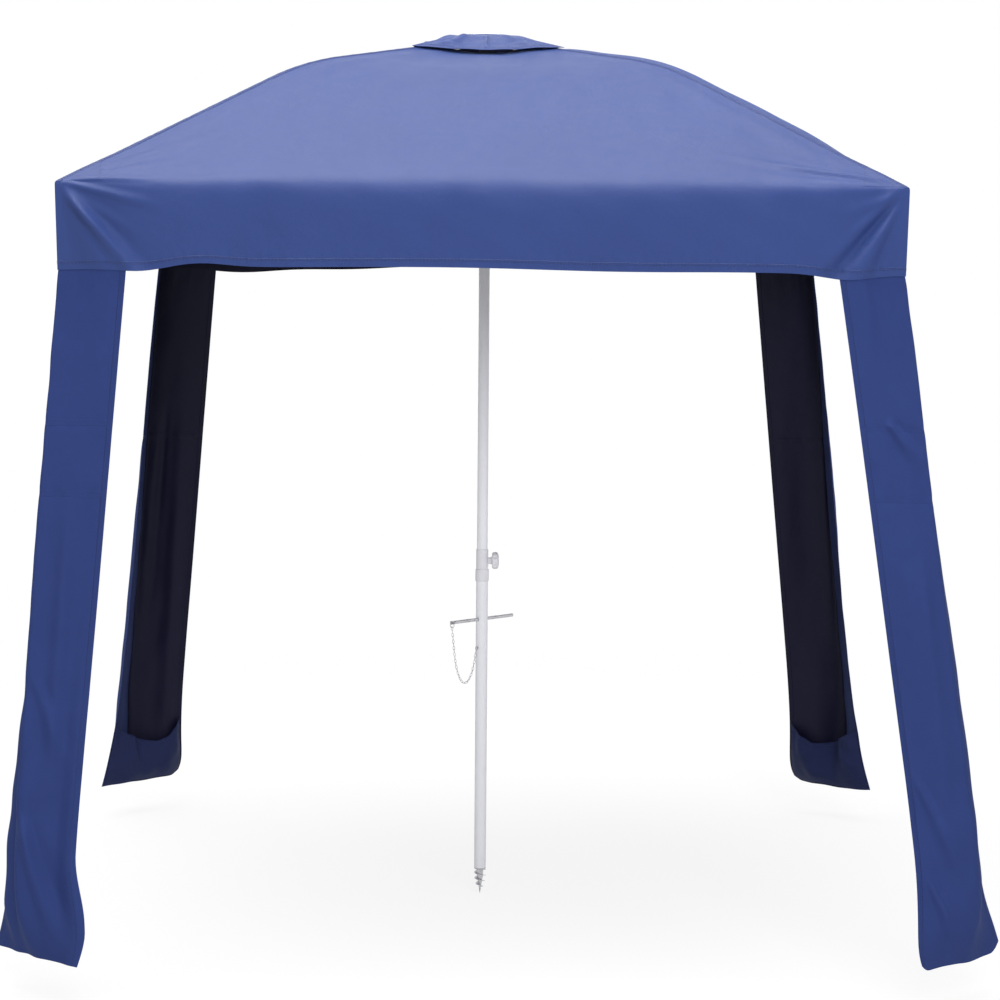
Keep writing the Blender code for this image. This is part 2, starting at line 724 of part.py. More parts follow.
def make_handle_bar(root):
    """Handle bar through the lower pole, flattened at one end for the ring."""
    bar = empty("handle_bar_axis", (0, 0, BAR_Z), BAR_YAW, root)
    half = BAR_LENGTH / 2
    flat = -half + BAR_FLAT_LENGTH
    round_part = solid_bar((flat - 0.002, 0, 0), (half, 0, 0), BAR_R, 16)
    rod = add("handle_bar", round_part, (ROD_GREY, 0.3, 1.0), bar)
    tongue = box_mesh((-half, -BAR_FLAT_THICK / 2, -BAR_R), (flat, BAR_FLAT_THICK / 2, BAR_R))
    join(rod, tongue, "flat_end")
    hole_x = -half + BAR_FLAT_LENGTH * 0.42
    cut(rod, solid_bar((hole_x, -0.006, 0), (hole_x, 0.006, 0), BAR_HOLE_R, 16), "ring_hole")
    data = mesh_torus(RING_R, RING_WIRE_R, 20, 6)
    data.transform(Matrix.Rotation(math.radians(90), 4, "Y"))
    data.transform(Matrix.Translation((hole_x, 0, -RING_R)))
    add("split_ring", data, (STEEL, 0.25, 1.0), bar)


def mesh_torus(major, minor, major_steps, minor_steps):
    """A ring round Z, as a mesh."""
    bpy.ops.mesh.primitive_torus_add(
        major_radius=major, minor_radius=minor, major_segments=major_steps, minor_segments=minor_steps,
    )
    made = bpy.context.object
    data = made.data
    bpy.data.objects.remove(made, do_unlink=True)
    return data


def make_eye_and_chain(root):
    """Eye in the lower pole's wall, and the chain that hangs from it to the ring."""
    out = Vector((math.cos(EYE_YAW), math.sin(EYE_YAW), 0))
    surface = LOWER_POLE_OD / 2
    middle = out * (surface + EYE_R + EYE_WIRE_R) + Vector((0, 0, EYE_Z))
    data = mesh_torus(EYE_R, EYE_WIRE_R, 16, 6)
    data.transform(Matrix.Rotation(math.radians(90), 4, "X"))
    data.transform(Matrix.Rotation(EYE_YAW, 4, "Z"))
    data.transform(Matrix.Translation(middle))
    eye = add("chain_eye", data, (STEEL, 0.3, 1.0), root)
    inner_end = out * (surface - LOWER_POLE_WALL - EYE_SHANK_PROUD) + Vector((0, 0, EYE_Z))
    outer_end = out * (surface + EYE_WIRE_R) + Vector((0, 0, EYE_Z))
    join(eye, solid_bar(inner_end, outer_end, EYE_SHANK_R, 12), "shank")
    tube_path("chain", CHAIN_ROUTE, CHAIN_R, (STEEL, 0.3, 1.0), root, sides=2)


def make_upper_pole(upper):
    """Upper tube with the hole of the catch, and the plug in its foot."""
    outer, bore = UPPER_POLE_OD / 2, UPPER_POLE_OD / 2 - UPPER_POLE_WALL
    top = CROWN_PIN_Z - CROWN_SOCKET_DROP - SEAT_GAP
    profile = [(outer, top), (outer, UPPER_POLE_FOOT_Z), (bore, UPPER_POLE_FOOT_Z), (bore, top)]
    tube = turned("upper_pole", profile, (WHITE_PAINT, 0.35), upper)
    hole = CATCH_R + SEAT_GAP
    front, inside = (0, -outer - 0.004, CATCH_Z), (0, -bore + 0.004, CATCH_Z)
    cut(tube, solid_bar(front, inside, hole, 16), "catch_hole")
    plug_r = bore - SEAT_GAP
    flange_top = UPPER_POLE_FOOT_Z - SEAT_GAP
    plug = [
        (0, flange_top + PLUG_LENGTH), (plug_r - 0.0015, flange_top + PLUG_LENGTH),
        (plug_r, flange_top + PLUG_LENGTH - 0.002), (plug_r, flange_top), (outer, flange_top),
        (outer, flange_top - PLUG_FLANGE + 0.001), (outer - 0.001, flange_top - PLUG_FLANGE),
        (0, flange_top - PLUG_FLANGE),
    ]
    turned("pole_plug", plug, (BLACK_PLASTIC, 0.5), upper, steps=16, closed=False)


def make_catch(upper):
    """Sprung catch button in the upper pole, under the runner."""
    catch = empty("catch_axis", (0, 0, CATCH_Z), parent=upper)
    face = -UPPER_POLE_OD / 2 - CATCH_PROUD
    button = solid_bar((0, face + CATCH_LENGTH, 0), (0, face, 0), CATCH_R, 16)
    made = add("catch_button", button, (STEEL, 0.3, 1.0), catch)
    edge = made.modifiers.new("rounded", "BEVEL")
    edge.width = 0.0007
    edge.segments = 2


def corner_slots(item, inner, width, low, high, far):
    """Cuts one radial slot for each corner, with straight sides."""
    for name, yaw in CORNERS.items():
        slot = box_mesh((inner, -width / 2, low), (far, width / 2, high))
        slot.transform(Matrix.Rotation(yaw, 4, "Z"))
        cut(item, slot, f"slot_{name}")


def make_crown(upper):
    """Crown hub on the upper pole's top, the wire through the ribs' eyes and the finial."""
    top = CROWN_PIN_Z + CROWN_FLANGE_RISE
    low = CROWN_PIN_Z - CROWN_FLANGE_DROP
    foot = CROWN_PIN_Z - CROWN_NECK_DROP
    socket = CROWN_PIN_Z - CROWN_SOCKET_DROP
    groove = CROWN_WIRE_R + SEAT_GAP
    groove_r = CROWN_PIN_REACH - groove
    profile = [
        (0, top), (CROWN_FLANGE_R - 0.003, top), (CROWN_FLANGE_R, top - 0.003),
        (CROWN_FLANGE_R, CROWN_PIN_Z + groove), (groove_r, CROWN_PIN_Z + groove),
        (groove_r, CROWN_PIN_Z - groove), (CROWN_FLANGE_R, CROWN_PIN_Z - groove),
        (CROWN_FLANGE_R, low + 0.001), (CROWN_FLANGE_R - 0.001, low), (CROWN_NECK_R, low),
        (CROWN_NECK_R, foot), (BORE_R, foot), (BORE_R, socket), (0, socket),
    ]
    hub = turned("crown_hub", profile, (BLACK_PLASTIC, 0.5), upper, closed=False)
    slot_width = EYELET_THICK + 2 * SLOT_SIDE_GAP
    slot_top = CROWN_PIN_Z + EYELET_R + 0.0006
    corner_slots(hub, CROWN_NECK_R + 0.0005, slot_width, low - 0.001, slot_top, CROWN_FLANGE_R * 1.3)
    wire = mesh_torus(CROWN_PIN_REACH, CROWN_WIRE_R, 32, 6)
    wire.transform(Matrix.Translation((0, 0, CROWN_PIN_Z)))
    add("crown_wire", wire, (STEEL, 0.3, 1.0), upper)
    cap_low = VENT_CAP_TOP_Z + CLOTH / 2 + CLOTH_GAP
    finial = [
        (0, cap_low + FINIAL_HEIGHT), (FINIAL_R * 0.4, cap_low + FINIAL_HEIGHT * 0.94),
        (FINIAL_R * 0.7, cap_low + FINIAL_HEIGHT * 0.74),
        (FINIAL_R * 0.9, cap_low + FINIAL_HEIGHT * 0.42),
        (FINIAL_R, cap_low + 0.0008), (FINIAL_R - 0.0006, cap_low), (FINIAL_STEM_R, cap_low),
        (FINIAL_STEM_R, top + SEAT_GAP), (0, top + SEAT_GAP),
    ]
    turned("finial_cap", finial, (WHITE_PLASTIC, 0.35), upper, closed=False)


def make_runner(upper):
    """Runner on the upper pole, with open seats for the stretchers' lower pins."""
    runner = empty("runner_axis", (0, 0, RUNNER_PIN_Z), parent=upper)
    top, foot = RUNNER_FLANGE_RISE, RUNNER_FLANGE_RISE - RUNNER_LENGTH
    low = -RUNNER_FLANGE_DROP
    profile = [
        (RUNNER_FLANGE_R - 0.002, top), (RUNNER_FLANGE_R, top - 0.002), (RUNNER_FLANGE_R, low + 0.001),
        (RUNNER_FLANGE_R - 0.001, low), (RUNNER_SLEEVE_R, low), (RUNNER_SLEEVE_R, foot + 0.014),
        (RUNNER_GRIP_R, foot + 0.010), (RUNNER_GRIP_R, foot + 0.002), (RUNNER_GRIP_R - 0.002, foot),
        (BORE_R, foot), (BORE_R, top),
    ]
    sleeve = turned("runner", profile, (BLACK_PLASTIC, 0.5), runner)
    slot_width = EYELET_THICK + 2 * SLOT_SIDE_GAP
    far = RUNNER_FLANGE_R * 1.3
    corner_slots(sleeve, RUNNER_SLEEVE_R + 0.0005, slot_width, low - 0.001, top + 0.001, far)
    for name, yaw in CORNERS.items():
        half = PIN_LENGTH / 2 + SEAT_GAP
        seat = box_mesh(
            (CROWN_PIN_REACH - PIN_HOLE_R, -half, low - 0.001),
            (CROWN_PIN_REACH + PIN_HOLE_R, half, PIN_HOLE_R),
        )
        seat.transform(Matrix.Rotation(yaw, 4, "Z"))
        cut(sleeve, seat, f"seat_{name}")


def eyelet(centre, radius=EYELET_R):
    """A flat round eye, square to the rib's plane."""
    aside = Vector((0, EYELET_THICK / 2, 0))
    return solid_bar(Vector(centre) - aside, Vector(centre) + aside, radius, 14)


def along_rib(reach, drop=0.0):
    """A point in the rib's plane, measured from the crown pin."""
    return Vector((reach - CROWN_PIN_REACH, 0, rib_height(reach) - drop - CROWN_PIN_Z))


def flat_tongue(start, end, half_height):
    """A flat tongue between two points of the rib's plane."""
    start, end = Vector(start), Vector(end)
    tilt = math.atan2(start.z - end.z, end.x - start.x)
    half = TONGUE_THICK / 2
    data = box_mesh((0, -half, -half_height), ((end - start).length, half, half_height))
    data.transform(Matrix.Translation(start) @ Matrix.Rotation(tilt, 4, "Y"))
    return data


def make_rib(corner, rib):
    """One rib with its flattened eye, its tip cap and the bracket of its stretcher."""
    reaches = [CROWN_PIN_REACH + TONGUE_LENGTH * 0.8]
    reaches += cloth_rows()[:-1]
    reaches.append(RIB_TIP_REACH - TIP_CAP_LENGTH * 0.3)
    look = (ROD_GREY, 0.35, 1.0)
    rod = tube_path(f"rib_{corner}", [along_rib(r) for r in reaches], RIB_R, look, rib, sides=2)
    rod = as_mesh_object(rod, look)
    tongue_end = along_rib(CROWN_PIN_REACH + TONGUE_LENGTH)
    join(rod, flat_tongue((0, 0, 0), tongue_end, TONGUE_HALF_HEIGHT), "tongue")
    join(rod, eyelet((0, 0, 0)), "eye")
    cut(rod, solid_bar((0, -0.005, 0), (0, 0.005, 0), PIN_HOLE_R, 12), "pin_hole")
    tip = along_rib(RIB_TIP_REACH)
    back = along_rib(RIB_TIP_REACH - TIP_CAP_LENGTH)
    way = (tip - back).normalized()
    cap_look = (BLACK_PLASTIC, 0.5)
    cap = add(f"tip_cap_{corner}", solid_bar(back, tip, TIP_CAP_R, 12), cap_look, rib)
    inner_end = along_rib(RIB_TIP_REACH - TIP_CAP_LENGTH * 0.3) + way * SEAT_GAP
    cut(cap, solid_bar(back - way * 0.004, inner_end, RIB_R + SEAT_GAP, 12), "bore")
    make_bracket(corner, rib)


def make_bracket(corner, rib):
    """Bracket on the rib: a clip round the rod with two ears, and the pin between them."""
    reach = BRACKET_REACH
    begin = along_rib(reach - BRACKET_LENGTH / 2)
    end = along_rib(reach + BRACKET_LENGTH / 2)
    pin = along_rib(reach, BRACKET_DROP)
    way = (end - begin).normalized()
    outer = RIB_R + SEAT_GAP + BRACKET_WALL
    look = (BLACK_PLASTIC, 0.5)
    body = add(f"bracket_{corner}", solid_bar(begin, end, outer, 12), look, rib)
    gap = EYELET_THICK / 2 + SLOT_SIDE_GAP
    thick = BRACKET_WALL
    side = gap + thick
    ear_low = (pin.x - EAR_HALF, -side, pin.z - EAR_HALF)
    ear_high = (pin.x + EAR_HALF, side, pin.z + BRACKET_DROP)
    join(body, box_mesh(ear_low, ear_high), "ears")
    slot_low = (pin.x - EAR_SLOT_HALF, -gap, pin.z - EAR_SLOT_DROP)
    slot_high = (pin.x + EAR_SLOT_HALF, gap, pin.z + BRACKET_DROP - RIB_R - EAR_ROOF)
    cut(body, box_mesh(slot_low, slot_high), "ear_slot")
    cut(body, solid_bar(begin - way * 0.004, end + way * 0.004, RIB_R + SEAT_GAP, 12), "bore")
    middle = (begin + end) / 2
    tilt = math.atan2(begin.z - end.z, end.x - begin.x)
    top = box_mesh((-BRACKET_LENGTH, -outer * 2, BRACKET_OPEN), (BRACKET_LENGTH, outer * 2, outer * 2))
    top.transform(Matrix.Translation(middle) @ Matrix.Rotation(tilt, 4, "Y"))
    cut(body, top, "open_top")
    ends = pin + Vector((0, -side, 0)), pin + Vector((0, side, 0))
    over = Vector((0, 0.002, 0))
    cut(body, solid_bar(ends[0] - over, ends[1] + over, PIN_HOLE_R, 12), "hole")
    add(f"bracket_pin_{corner}", solid_bar(*ends, PIN_R, 12), (STEEL, 0.3, 1.0), rib)


def make_stretcher(corner, rib):
    """One stretcher: a rod with a flat eye at the bracket and a crosswise pin at the runner."""
    pin = along_rib(BRACKET_REACH, BRACKET_DROP)
    stretcher = empty(f"stretcher_axis_{corner}", pin, parent=rib)
    lower = Vector((0, 0, RUNNER_PIN_Z - CROWN_PIN_Z)) - pin
    way = lower.normalized()
    look = (ROD_GREY, 0.35, 1.0)
    points = [way * STRETCHER_ROD_INSET, lower - way * STRETCHER_ROD_INSET]
    rod = tube_path(f"stretcher_{corner}", points, STRETCHER_R, look, stretcher, sides=2)
    rod = as_mesh_object(rod, look)
    tongue = way * STRETCHER_TONGUE_LENGTH
    join(rod, flat_tongue(lower, lower - tongue, STRETCHER_TONGUE_HALF_HEIGHT), "lower_tongue")
    join(rod, flat_tongue(tongue, (0, 0, 0), STRETCHER_TONGUE_HALF_HEIGHT), "upper_tongue")
    join(rod, eyelet((0, 0, 0)), "upper_eye")
    join(rod, eyelet(lower, STRETCHER_EYE_R), "lower_eye")
    half = PIN_LENGTH / 2
    aside = Vector((0, half, 0))
    join(rod, solid_bar(lower - aside, lower + aside, PIN_R, 12), "lower_pin")
    cut(rod, solid_bar((0, -0.005, 0), (0, 0.005, 0), PIN_HOLE_R, 12), "pin_hole")


def make_cloth(corner, rib, leg):
    """The canopy, vent cap, valance, leg and sand pocket of one corner."""
    look = (NAVY_CLOTH, 0.85)
    pin = (CROWN_PIN_REACH, 0, CROWN_PIN_Z)
    tip = (RIB_TIP_REACH, 0, RIB_TIP_Z)
    rows = cloth_rows()
    roof_rows = [(row - rows[0]) / (rows[-1] - rows[0]) for row in rows]
    cloth_object(f"canopy_{corner}", canopy_point, 8, roof_rows, look, rib, pin)
    cap_rows = [0.0, VENT_CAP_FLAT, 0.55, 1.0]
    cloth_object(f"vent_cap_{corner}", vent_point, 6, cap_rows, look, rib, pin)
    cloth_object(f"valance_{corner}", valance_point, 14, even_rows(3), look, leg, tip)

    def leg_point(a, t):
        return leg_place(a, t, corner)

    def pocket_point(a, b):
        return pocket_place(a, b, corner)

    leg_rows = even_rows(8)[:-1] + [0.91, 0.94, 0.97, 1.0]
    cloth_object(f"leg_{corner}", leg_point, 8, leg_rows, look, leg, tip)
    cloth_object(f"sand_pocket_{corner}", pocket_point, 6, even_rows(5), look, leg, tip)


def build_cabana():
    """Builds every body, from the planted pole up to the canopy."""
    root = empty("planted_pole", (0, 0, 0))
    make_lower_pole(root)
    make_auger(root)
    make_clamp(root)
    make_clamp_knob(root)
    make_handle_bar(root)
    make_eye_and_chain(root)
    upper = empty("upper_pole_axis", (0, 0, 0), parent=root)
    make_upper_pole(upper)
    make_catch(upper)
    make_crown(upper)
    make_runner(upper)
    for corner, yaw in CORNERS.items():
        out = Vector((math.cos(yaw), math.sin(yaw), 0))
        pin_place = out * CROWN_PIN_REACH + Vector((0, 0, CROWN_PIN_Z))
        rib = empty(f"rib_axis_{corner}", pin_place, yaw, upper)
        tip_place = along_rib(RIB_TIP_REACH)
        leg = empty(f"leg_axis_{corner}", tip_place, parent=rib)
        make_rib(corner, rib)
        make_stretcher(corner, rib)
        make_cloth(corner, rib, leg)


build_cabana()

for item in parts.objects:
    if item.type == "MESH":
        smooth(item.data)
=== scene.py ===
"""Beach cabana: a square domed shade on a planted centre pole, with a fabric leg at each corner."""

import json
import logging
import math
from dataclasses import dataclass
from enum import Enum, IntEnum

import bmesh
import bpy
import numpy as np
from mathutils import Matrix, Vector

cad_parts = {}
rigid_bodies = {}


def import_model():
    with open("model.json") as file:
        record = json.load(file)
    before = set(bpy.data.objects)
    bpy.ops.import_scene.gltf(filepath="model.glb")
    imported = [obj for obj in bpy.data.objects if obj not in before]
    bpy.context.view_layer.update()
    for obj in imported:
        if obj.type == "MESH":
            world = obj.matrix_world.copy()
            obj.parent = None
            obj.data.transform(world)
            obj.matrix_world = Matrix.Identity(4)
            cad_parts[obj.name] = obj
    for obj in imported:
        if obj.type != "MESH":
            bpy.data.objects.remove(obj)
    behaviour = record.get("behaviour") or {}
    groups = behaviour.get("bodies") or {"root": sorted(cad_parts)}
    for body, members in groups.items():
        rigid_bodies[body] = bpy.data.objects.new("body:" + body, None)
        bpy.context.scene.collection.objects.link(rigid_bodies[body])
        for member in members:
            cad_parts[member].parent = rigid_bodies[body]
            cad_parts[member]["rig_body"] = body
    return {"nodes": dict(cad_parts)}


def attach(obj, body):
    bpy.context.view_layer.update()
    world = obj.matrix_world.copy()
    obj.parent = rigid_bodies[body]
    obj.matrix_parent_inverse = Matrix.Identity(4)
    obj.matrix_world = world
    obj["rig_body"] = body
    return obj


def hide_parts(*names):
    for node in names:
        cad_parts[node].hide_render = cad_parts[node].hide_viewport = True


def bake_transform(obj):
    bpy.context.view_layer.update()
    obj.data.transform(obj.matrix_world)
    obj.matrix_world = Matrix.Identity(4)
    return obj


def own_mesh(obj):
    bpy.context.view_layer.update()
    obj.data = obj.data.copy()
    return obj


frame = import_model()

LOG = logging.getLogger("beach_cabana")
ROOT2 = math.sqrt(2)
THREAD_LIFT = 0.0001
TIE_REACHES = (0.35, 0.75)


class Slot(Enum):
    """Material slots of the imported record."""

    CLOTH = "navy_cloth"
    PAINT = "white_paint"
    PLASTIC = "white_plastic"
    STEEL = "bright_steel"
    ROD = "grey_rod"
    BLACK = "black_plastic"


class Hold(Enum):
    """Ways in which a cloth is held."""

    HUNG = "hung"
    STRETCHED = "stretched"


class Seed(IntEnum):
    """First seed of each kind of random form, to which a side's or corner's number is added."""

    VALANCE_WAVES = 20
    BROAD_WAVES = 40
    FINE_WAVES = 60
    SEAM_PUCKER = 80
    HEM_PUCKER = 90
    CAP_WAVES = 120
    LEG = 200
    PULLS = 300
    POCKET = 400
    CAP_CREASES = 700


class Corner(Enum):
    """Corners of the shade in their order round the pole, with the direction of each rib in degrees."""

    FRONT_LEFT = ("front_left", 225.0)
    FRONT_RIGHT = ("front_right", 315.0)
    BACK_RIGHT = ("back_right", 45.0)
    BACK_LEFT = ("back_left", 135.0)

    @property
    def title(self) -> str:
        """The corner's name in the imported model."""
        return self.value[0]

    @property
    def yaw(self) -> float:
        """Direction of the corner's rib in radians."""
        return math.radians(self.value[1])


CORNER_RING = list(Corner)


class NodeBench:
    """A node tree being put together, with short calls for its nodes and links."""

    def __init__(self, tree: bpy.types.NodeTree) -> None:
        """Take the tree to work on."""
        self.tree = tree

    def node(self, kind: str, given: dict | None = None, **fields) -> bpy.types.Node:
        """Add a node.

        Args:
            kind: Blender's name of the node type.
            given: Numbers or outputs for its inputs, by their name or number.
            fields: Values of the node's own properties.

        Returns:
            The new node.
        """
        made = self.tree.nodes.new(kind)
        for name, value in fields.items():
            setattr(made, name, value)
        return self.fill(made, given or {})

    def output(self, kind: str, given: dict | None = None, **fields) -> bpy.types.NodeSocket:
        """Add a node, and give back its first output."""
        return self.node(kind, given, **fields).outputs[0]

    def fill(self, node: bpy.types.Node, given: dict) -> bpy.types.Node:
        """Link outputs to a node's inputs, or write plain values into them.

        Args:
            node: The node.
            given: Numbers or outputs for its inputs, by their name or number; None leaves an input alone.

        Returns:
            The same node.
        """
        for key, value in given.items():
            if isinstance(value, bpy.types.NodeSocket):
                self.tree.links.new(value, node.inputs[key])
            elif value is not None:
                node.inputs[key].default_value = value
        return node

    def place(self) -> bpy.types.NodeSocket:
        """Coordinates in the piece's own frame."""
        return self.node("ShaderNodeTexCoord").outputs["Object"]

    def seen(self, *kinds: str) -> bpy.types.NodeSocket:
        """1 for rays of any of the named kinds, and 0 for all others."""
        rays = self.node("ShaderNodeLightPath").outputs
        found = rays[kinds[0]]
        for kind in kinds[1:]:
            found = self.maths("MAXIMUM", found, rays[kind])
        return found

    def maths(self, operation: str, first, second=None, third=None) -> bpy.types.NodeSocket:
        """Add a Math node.

        Args:
            operation: The sum to do.
            first: First number or output.
            second: Second number or output.
            third: Third number or output.

        Returns:
            The result's socket.
        """
        return self.output("ShaderNodeMath", {0: first, 1: second, 2: third}, operation=operation)

    def ramp(self, value, low: float, high: float, start: float, end: float) -> bpy.types.NodeSocket:
        """Map a range of numbers smoothly onto another.

        Args:
            value: The number to map.
            low: Where the source range starts.
            high: Where the source range ends.
            start: Result at the start.
            end: Result at the end.

        Returns:
            The result's socket.
        """
        given = {"Value": value, "From Min": low, "From Max": high, "To Min": start, "To Max": end}
        return self.output("ShaderNodeMapRange", given, interpolation_type="SMOOTHSTEP")

    def noise(
        self, place, scale: float, detail: float = 2.0, roughness: float = 0.5
    ) -> bpy.types.NodeSocket:
        """Add a noise pattern.

        Args:
            place: Coordinates.
            scale: Grains to the metre.
            detail: Number of finer layers.
            roughness: Strength of the finer layers.

        Returns:
            The pattern's value, from 0 to 1.
        """
        given = {"Vector": place, "Scale": scale, "Detail": detail, "Roughness": roughness}
        return self.output("ShaderNodeTexNoise", given)

    def tinted(self, share, dark: tuple, light: tuple) -> bpy.types.NodeSocket:
        """Mix two colours by a share from 0 to 1."""
        given = {"Factor": share, 6: (*dark, 1.0), 7: (*light, 1.0)}
        return self.node("ShaderNodeMix", given, data_type="RGBA").outputs[2]

    def relief(self, height, distance: float, strength: float, under=None) -> bpy.types.NodeSocket:
        """Turn a height pattern into a surface relief.

        Args:
            height: The pattern.
            distance: Depth of the relief in metres.
            strength: Share of it that shows.
            under: A relief that this one lies on.

        Returns:
            The relief's normal.
        """
        given = {"Height": height, "Distance": distance, "Strength": strength, "Normal": under}
        return self.output("ShaderNodeBump", given)


def shaded(colour: tuple, share: float) -> tuple:
    """A colour made darker or lighter by a share."""
    return tuple(min(1.0, part * share) for part in colour)


@dataclass(frozen=True)
class Finish:
    """A surface finish: its plain numbers, and a pattern that each kind of finish adds."""

    title: str
    slot: Slot
    colour: tuple
    roughness: float
    metallic: float = 0.0

    def material(self) -> bpy.types.Material:
        """The finish as a material, made the first time that it is asked for."""
        made = bpy.data.materials.get(self.title)
        if made is None:
            made = bpy.data.materials.new(self.title)
            made.use_nodes = True
            made.diffuse_color = (*self.colour, 1.0)
            bench = NodeBench(made.node_tree)
            shader = bench.fill(made.node_tree.nodes["Principled BSDF"], {
                "Base Color": (*self.colour, 1.0),
                "Roughness": self.roughness,
                "Metallic": self.metallic,
            })
            self.pattern(bench, shader)
        return made

    def pattern(self, bench: NodeBench, shader: bpy.types.Node) -> None:
        """Add the finish's own pattern to its shader; the plain finish has none."""


@dataclass(frozen=True)
class WovenCloth(Finish):
    """Plain-woven coated polyester, with its threads, hems, faint grime and sheen."""

    thread: float = 0.0009
    sheen: float = 0.20
    sheen_roughness: float = 0.18
    specular: float = 0.36
    sheen_tint: tuple = (0.68, 0.80, 1.0)

    def pattern(self, bench: NodeBench, shader: bpy.types.Node) -> None:
        """Weave threads along the cloth's own map, and vary tone and gloss over larger areas.

        Args:
            bench: The material's tree.
            shader: Its main shader.
        """
        place = bench.place()
        weave = bench.node("ShaderNodeSeparateXYZ", {0: bench.output("ShaderNodeUVMap", uv_map="weave")})
        turns = math.tau / self.thread
        waves = [bench.maths("SINE", bench.maths("MULTIPLY", way, turns)) for way in weave.outputs[:2]]
        threads = bench.maths("MULTIPLY", *waves)
        slub = bench.noise(place, 420.0, 2.0)
        cloud = bench.noise(place, 2.6, 4.0, 0.55)
        rub = bench.noise(place, 34.0, 5.0, 0.6)
        crumple = bench.noise(place, 16.0, 4.0, 0.55)
        doubled = bench.node("ShaderNodeAttribute", attribute_name="doubled").outputs["Fac"]
        tone = bench.maths("MULTIPLY_ADD", cloud, 0.55, bench.maths("MULTIPLY", rub, 0.30))
        tone = bench.maths("ADD", tone, bench.maths("MULTIPLY_ADD", threads, 0.05, 0.03))
        # Doubled cloth is painted darker: partly painted shade along the seams, hems and corner patches,
        # partly the darker tone of doubled cloth.
        tone = bench.maths("SUBTRACT", tone, bench.maths("MULTIPLY", doubled, 0.10))
        hem = bench.relief(doubled, 0.0012, 0.8, bench.relief(crumple, 0.006, 0.30))
        bench.fill(shader, {
            "Base Color": bench.tinted(tone, shaded(self.colour, 0.84), shaded(self.colour, 1.18)),
            "Roughness": bench.maths("MULTIPLY_ADD", rub, 0.14, self.roughness - 0.07),
            "Normal": bench.relief(bench.maths("ADD", threads, slub), 0.00022, 0.35, hem),
            "Sheen Weight": self.sheen,
            "Sheen Roughness": self.sheen_roughness,
            "Sheen Tint": (*self.sheen_tint, 1.0),
            "Specular IOR Level": self.specular,
        })


@dataclass(frozen=True)
class Enamel(Finish):
    """Powder-coated paint on the tubes, with orange peel, faint scuffs and sliding marks."""

    def pattern(self, bench: NodeBench, shader: bpy.types.Node) -> None:
        """Add fine orange peel, lengthwise rubbing marks and a little grime.

        Args:
            bench: The material's tree.
            shader: Its main shader.
        """
        place = bench.place()
        drawn = bench.output("ShaderNodeMapping", {"Vector": place, "Scale": (1.0, 1.0, 0.04)})
        marks = bench.noise(drawn, 900.0, 3.0, 0.6)
        grime = bench.noise(place, 9.0, 5.0, 0.6)
        peel = bench.noise(place, 1500.0, 1.0)
        worn = bench.ramp(marks, 0.62, 0.75, 0.0, 1.0)
        tone = bench.maths("MULTIPLY_ADD", grime, 0.6, bench.maths("MULTIPLY", worn, 0.35))
        bench.fill(shader, {
            "Base Color": bench.tinted(tone, self.colour, shaded(self.colour, 0.86)),
            "Roughness": bench.maths("MULTIPLY_ADD", marks, 0.22, self.roughness - 0.10),
            "Normal": bench.relief(peel, 0.00008, 0.4),
            "Coat Weight": 0.25,
            "Coat Roughness": 0.2,
        })


@dataclass(frozen=True)
class MouldedPlastic(Finish):
    """Moulded plastic with a spark-eroded grain and a little handling wear."""

    grain: float = 1100.0

    def pattern(self, bench: NodeBench, shader: bpy.types.Node) -> None:
        """Add moulding grain, soft flow marks and uneven gloss.

        Args:
            bench: The material's tree.
            shader: Its main shader.
        """
        place = bench.place()
        grain = bench.noise(place, self.grain, 3.0, 0.6)
        flow = bench.noise(place, 60.0, 3.0, 0.5)
        bench.fill(shader, {
            "Base Color": bench.tinted(flow, shaded(self.colour, 0.93), shaded(self.colour, 1.03)),
            "Roughness": bench.maths("MULTIPLY_ADD", flow, 0.18, self.roughness - 0.09),
            "Normal": bench.relief(grain, 0.00012, 0.5),
        })


@dataclass(frozen=True)
class DrawnSteel(Finish):
    """Plated steel rod or wire, with drawing lines, dull spots and tiny pits."""

    spots: float = 0.35

    def pattern(self, bench: NodeBench, shader: bpy.types.Node) -> None:
        """Add cloudy plating, pits and varied gloss.

        Args:
            bench: The material's tree.
            shader: Its main shader.
        """
        place = bench.place()
        cloud = bench.noise(place, 70.0, 5.0, 0.65)
        pits = bench.noise(place, 1300.0, 2.0)
        dull = bench.ramp(cloud, 0.45, 0.70, 0.0, 1.0)
        bench.fill(shader, {
            "Base Color": bench.tinted(dull, shaded(self.colour, 1.08), shaded(self.colour, 0.72)),
            "Roughness": bench.maths("MULTIPLY_ADD", dull, self.spots, self.roughness),
            "Normal": bench.relief(pits, 0.00006, 0.5),
        })


NAVY = WovenCloth("navy_cloth_woven", Slot.CLOTH, (0.0225, 0.0485, 0.192), 0.43)
# The canopy's cloth made darker in blue for the legs: painted shade, as the legs catch less light.
NAVY_LEG_PAINTED_SHADE = WovenCloth(
    "navy_cloth_legs", Slot.CLOTH, (0.0295, 0.0490, 0.170), 0.62, sheen=0.0, specular=0.04
)
# The legs' cloth made darker for the sand pockets: painted shade on the pockets.
NAVY_POCKET_PAINTED_SHADE = WovenCloth(
    "navy_cloth_pockets", Slot.CLOTH, (0.018, 0.025, 0.080), 0.62, sheen=0.0, specular=0.1
)
NAVY_INSIDE = WovenCloth(
    "navy_cloth_coated", Slot.CLOTH, (0.009, 0.009, 0.028), 0.42, sheen=0.0, specular=0.13
)
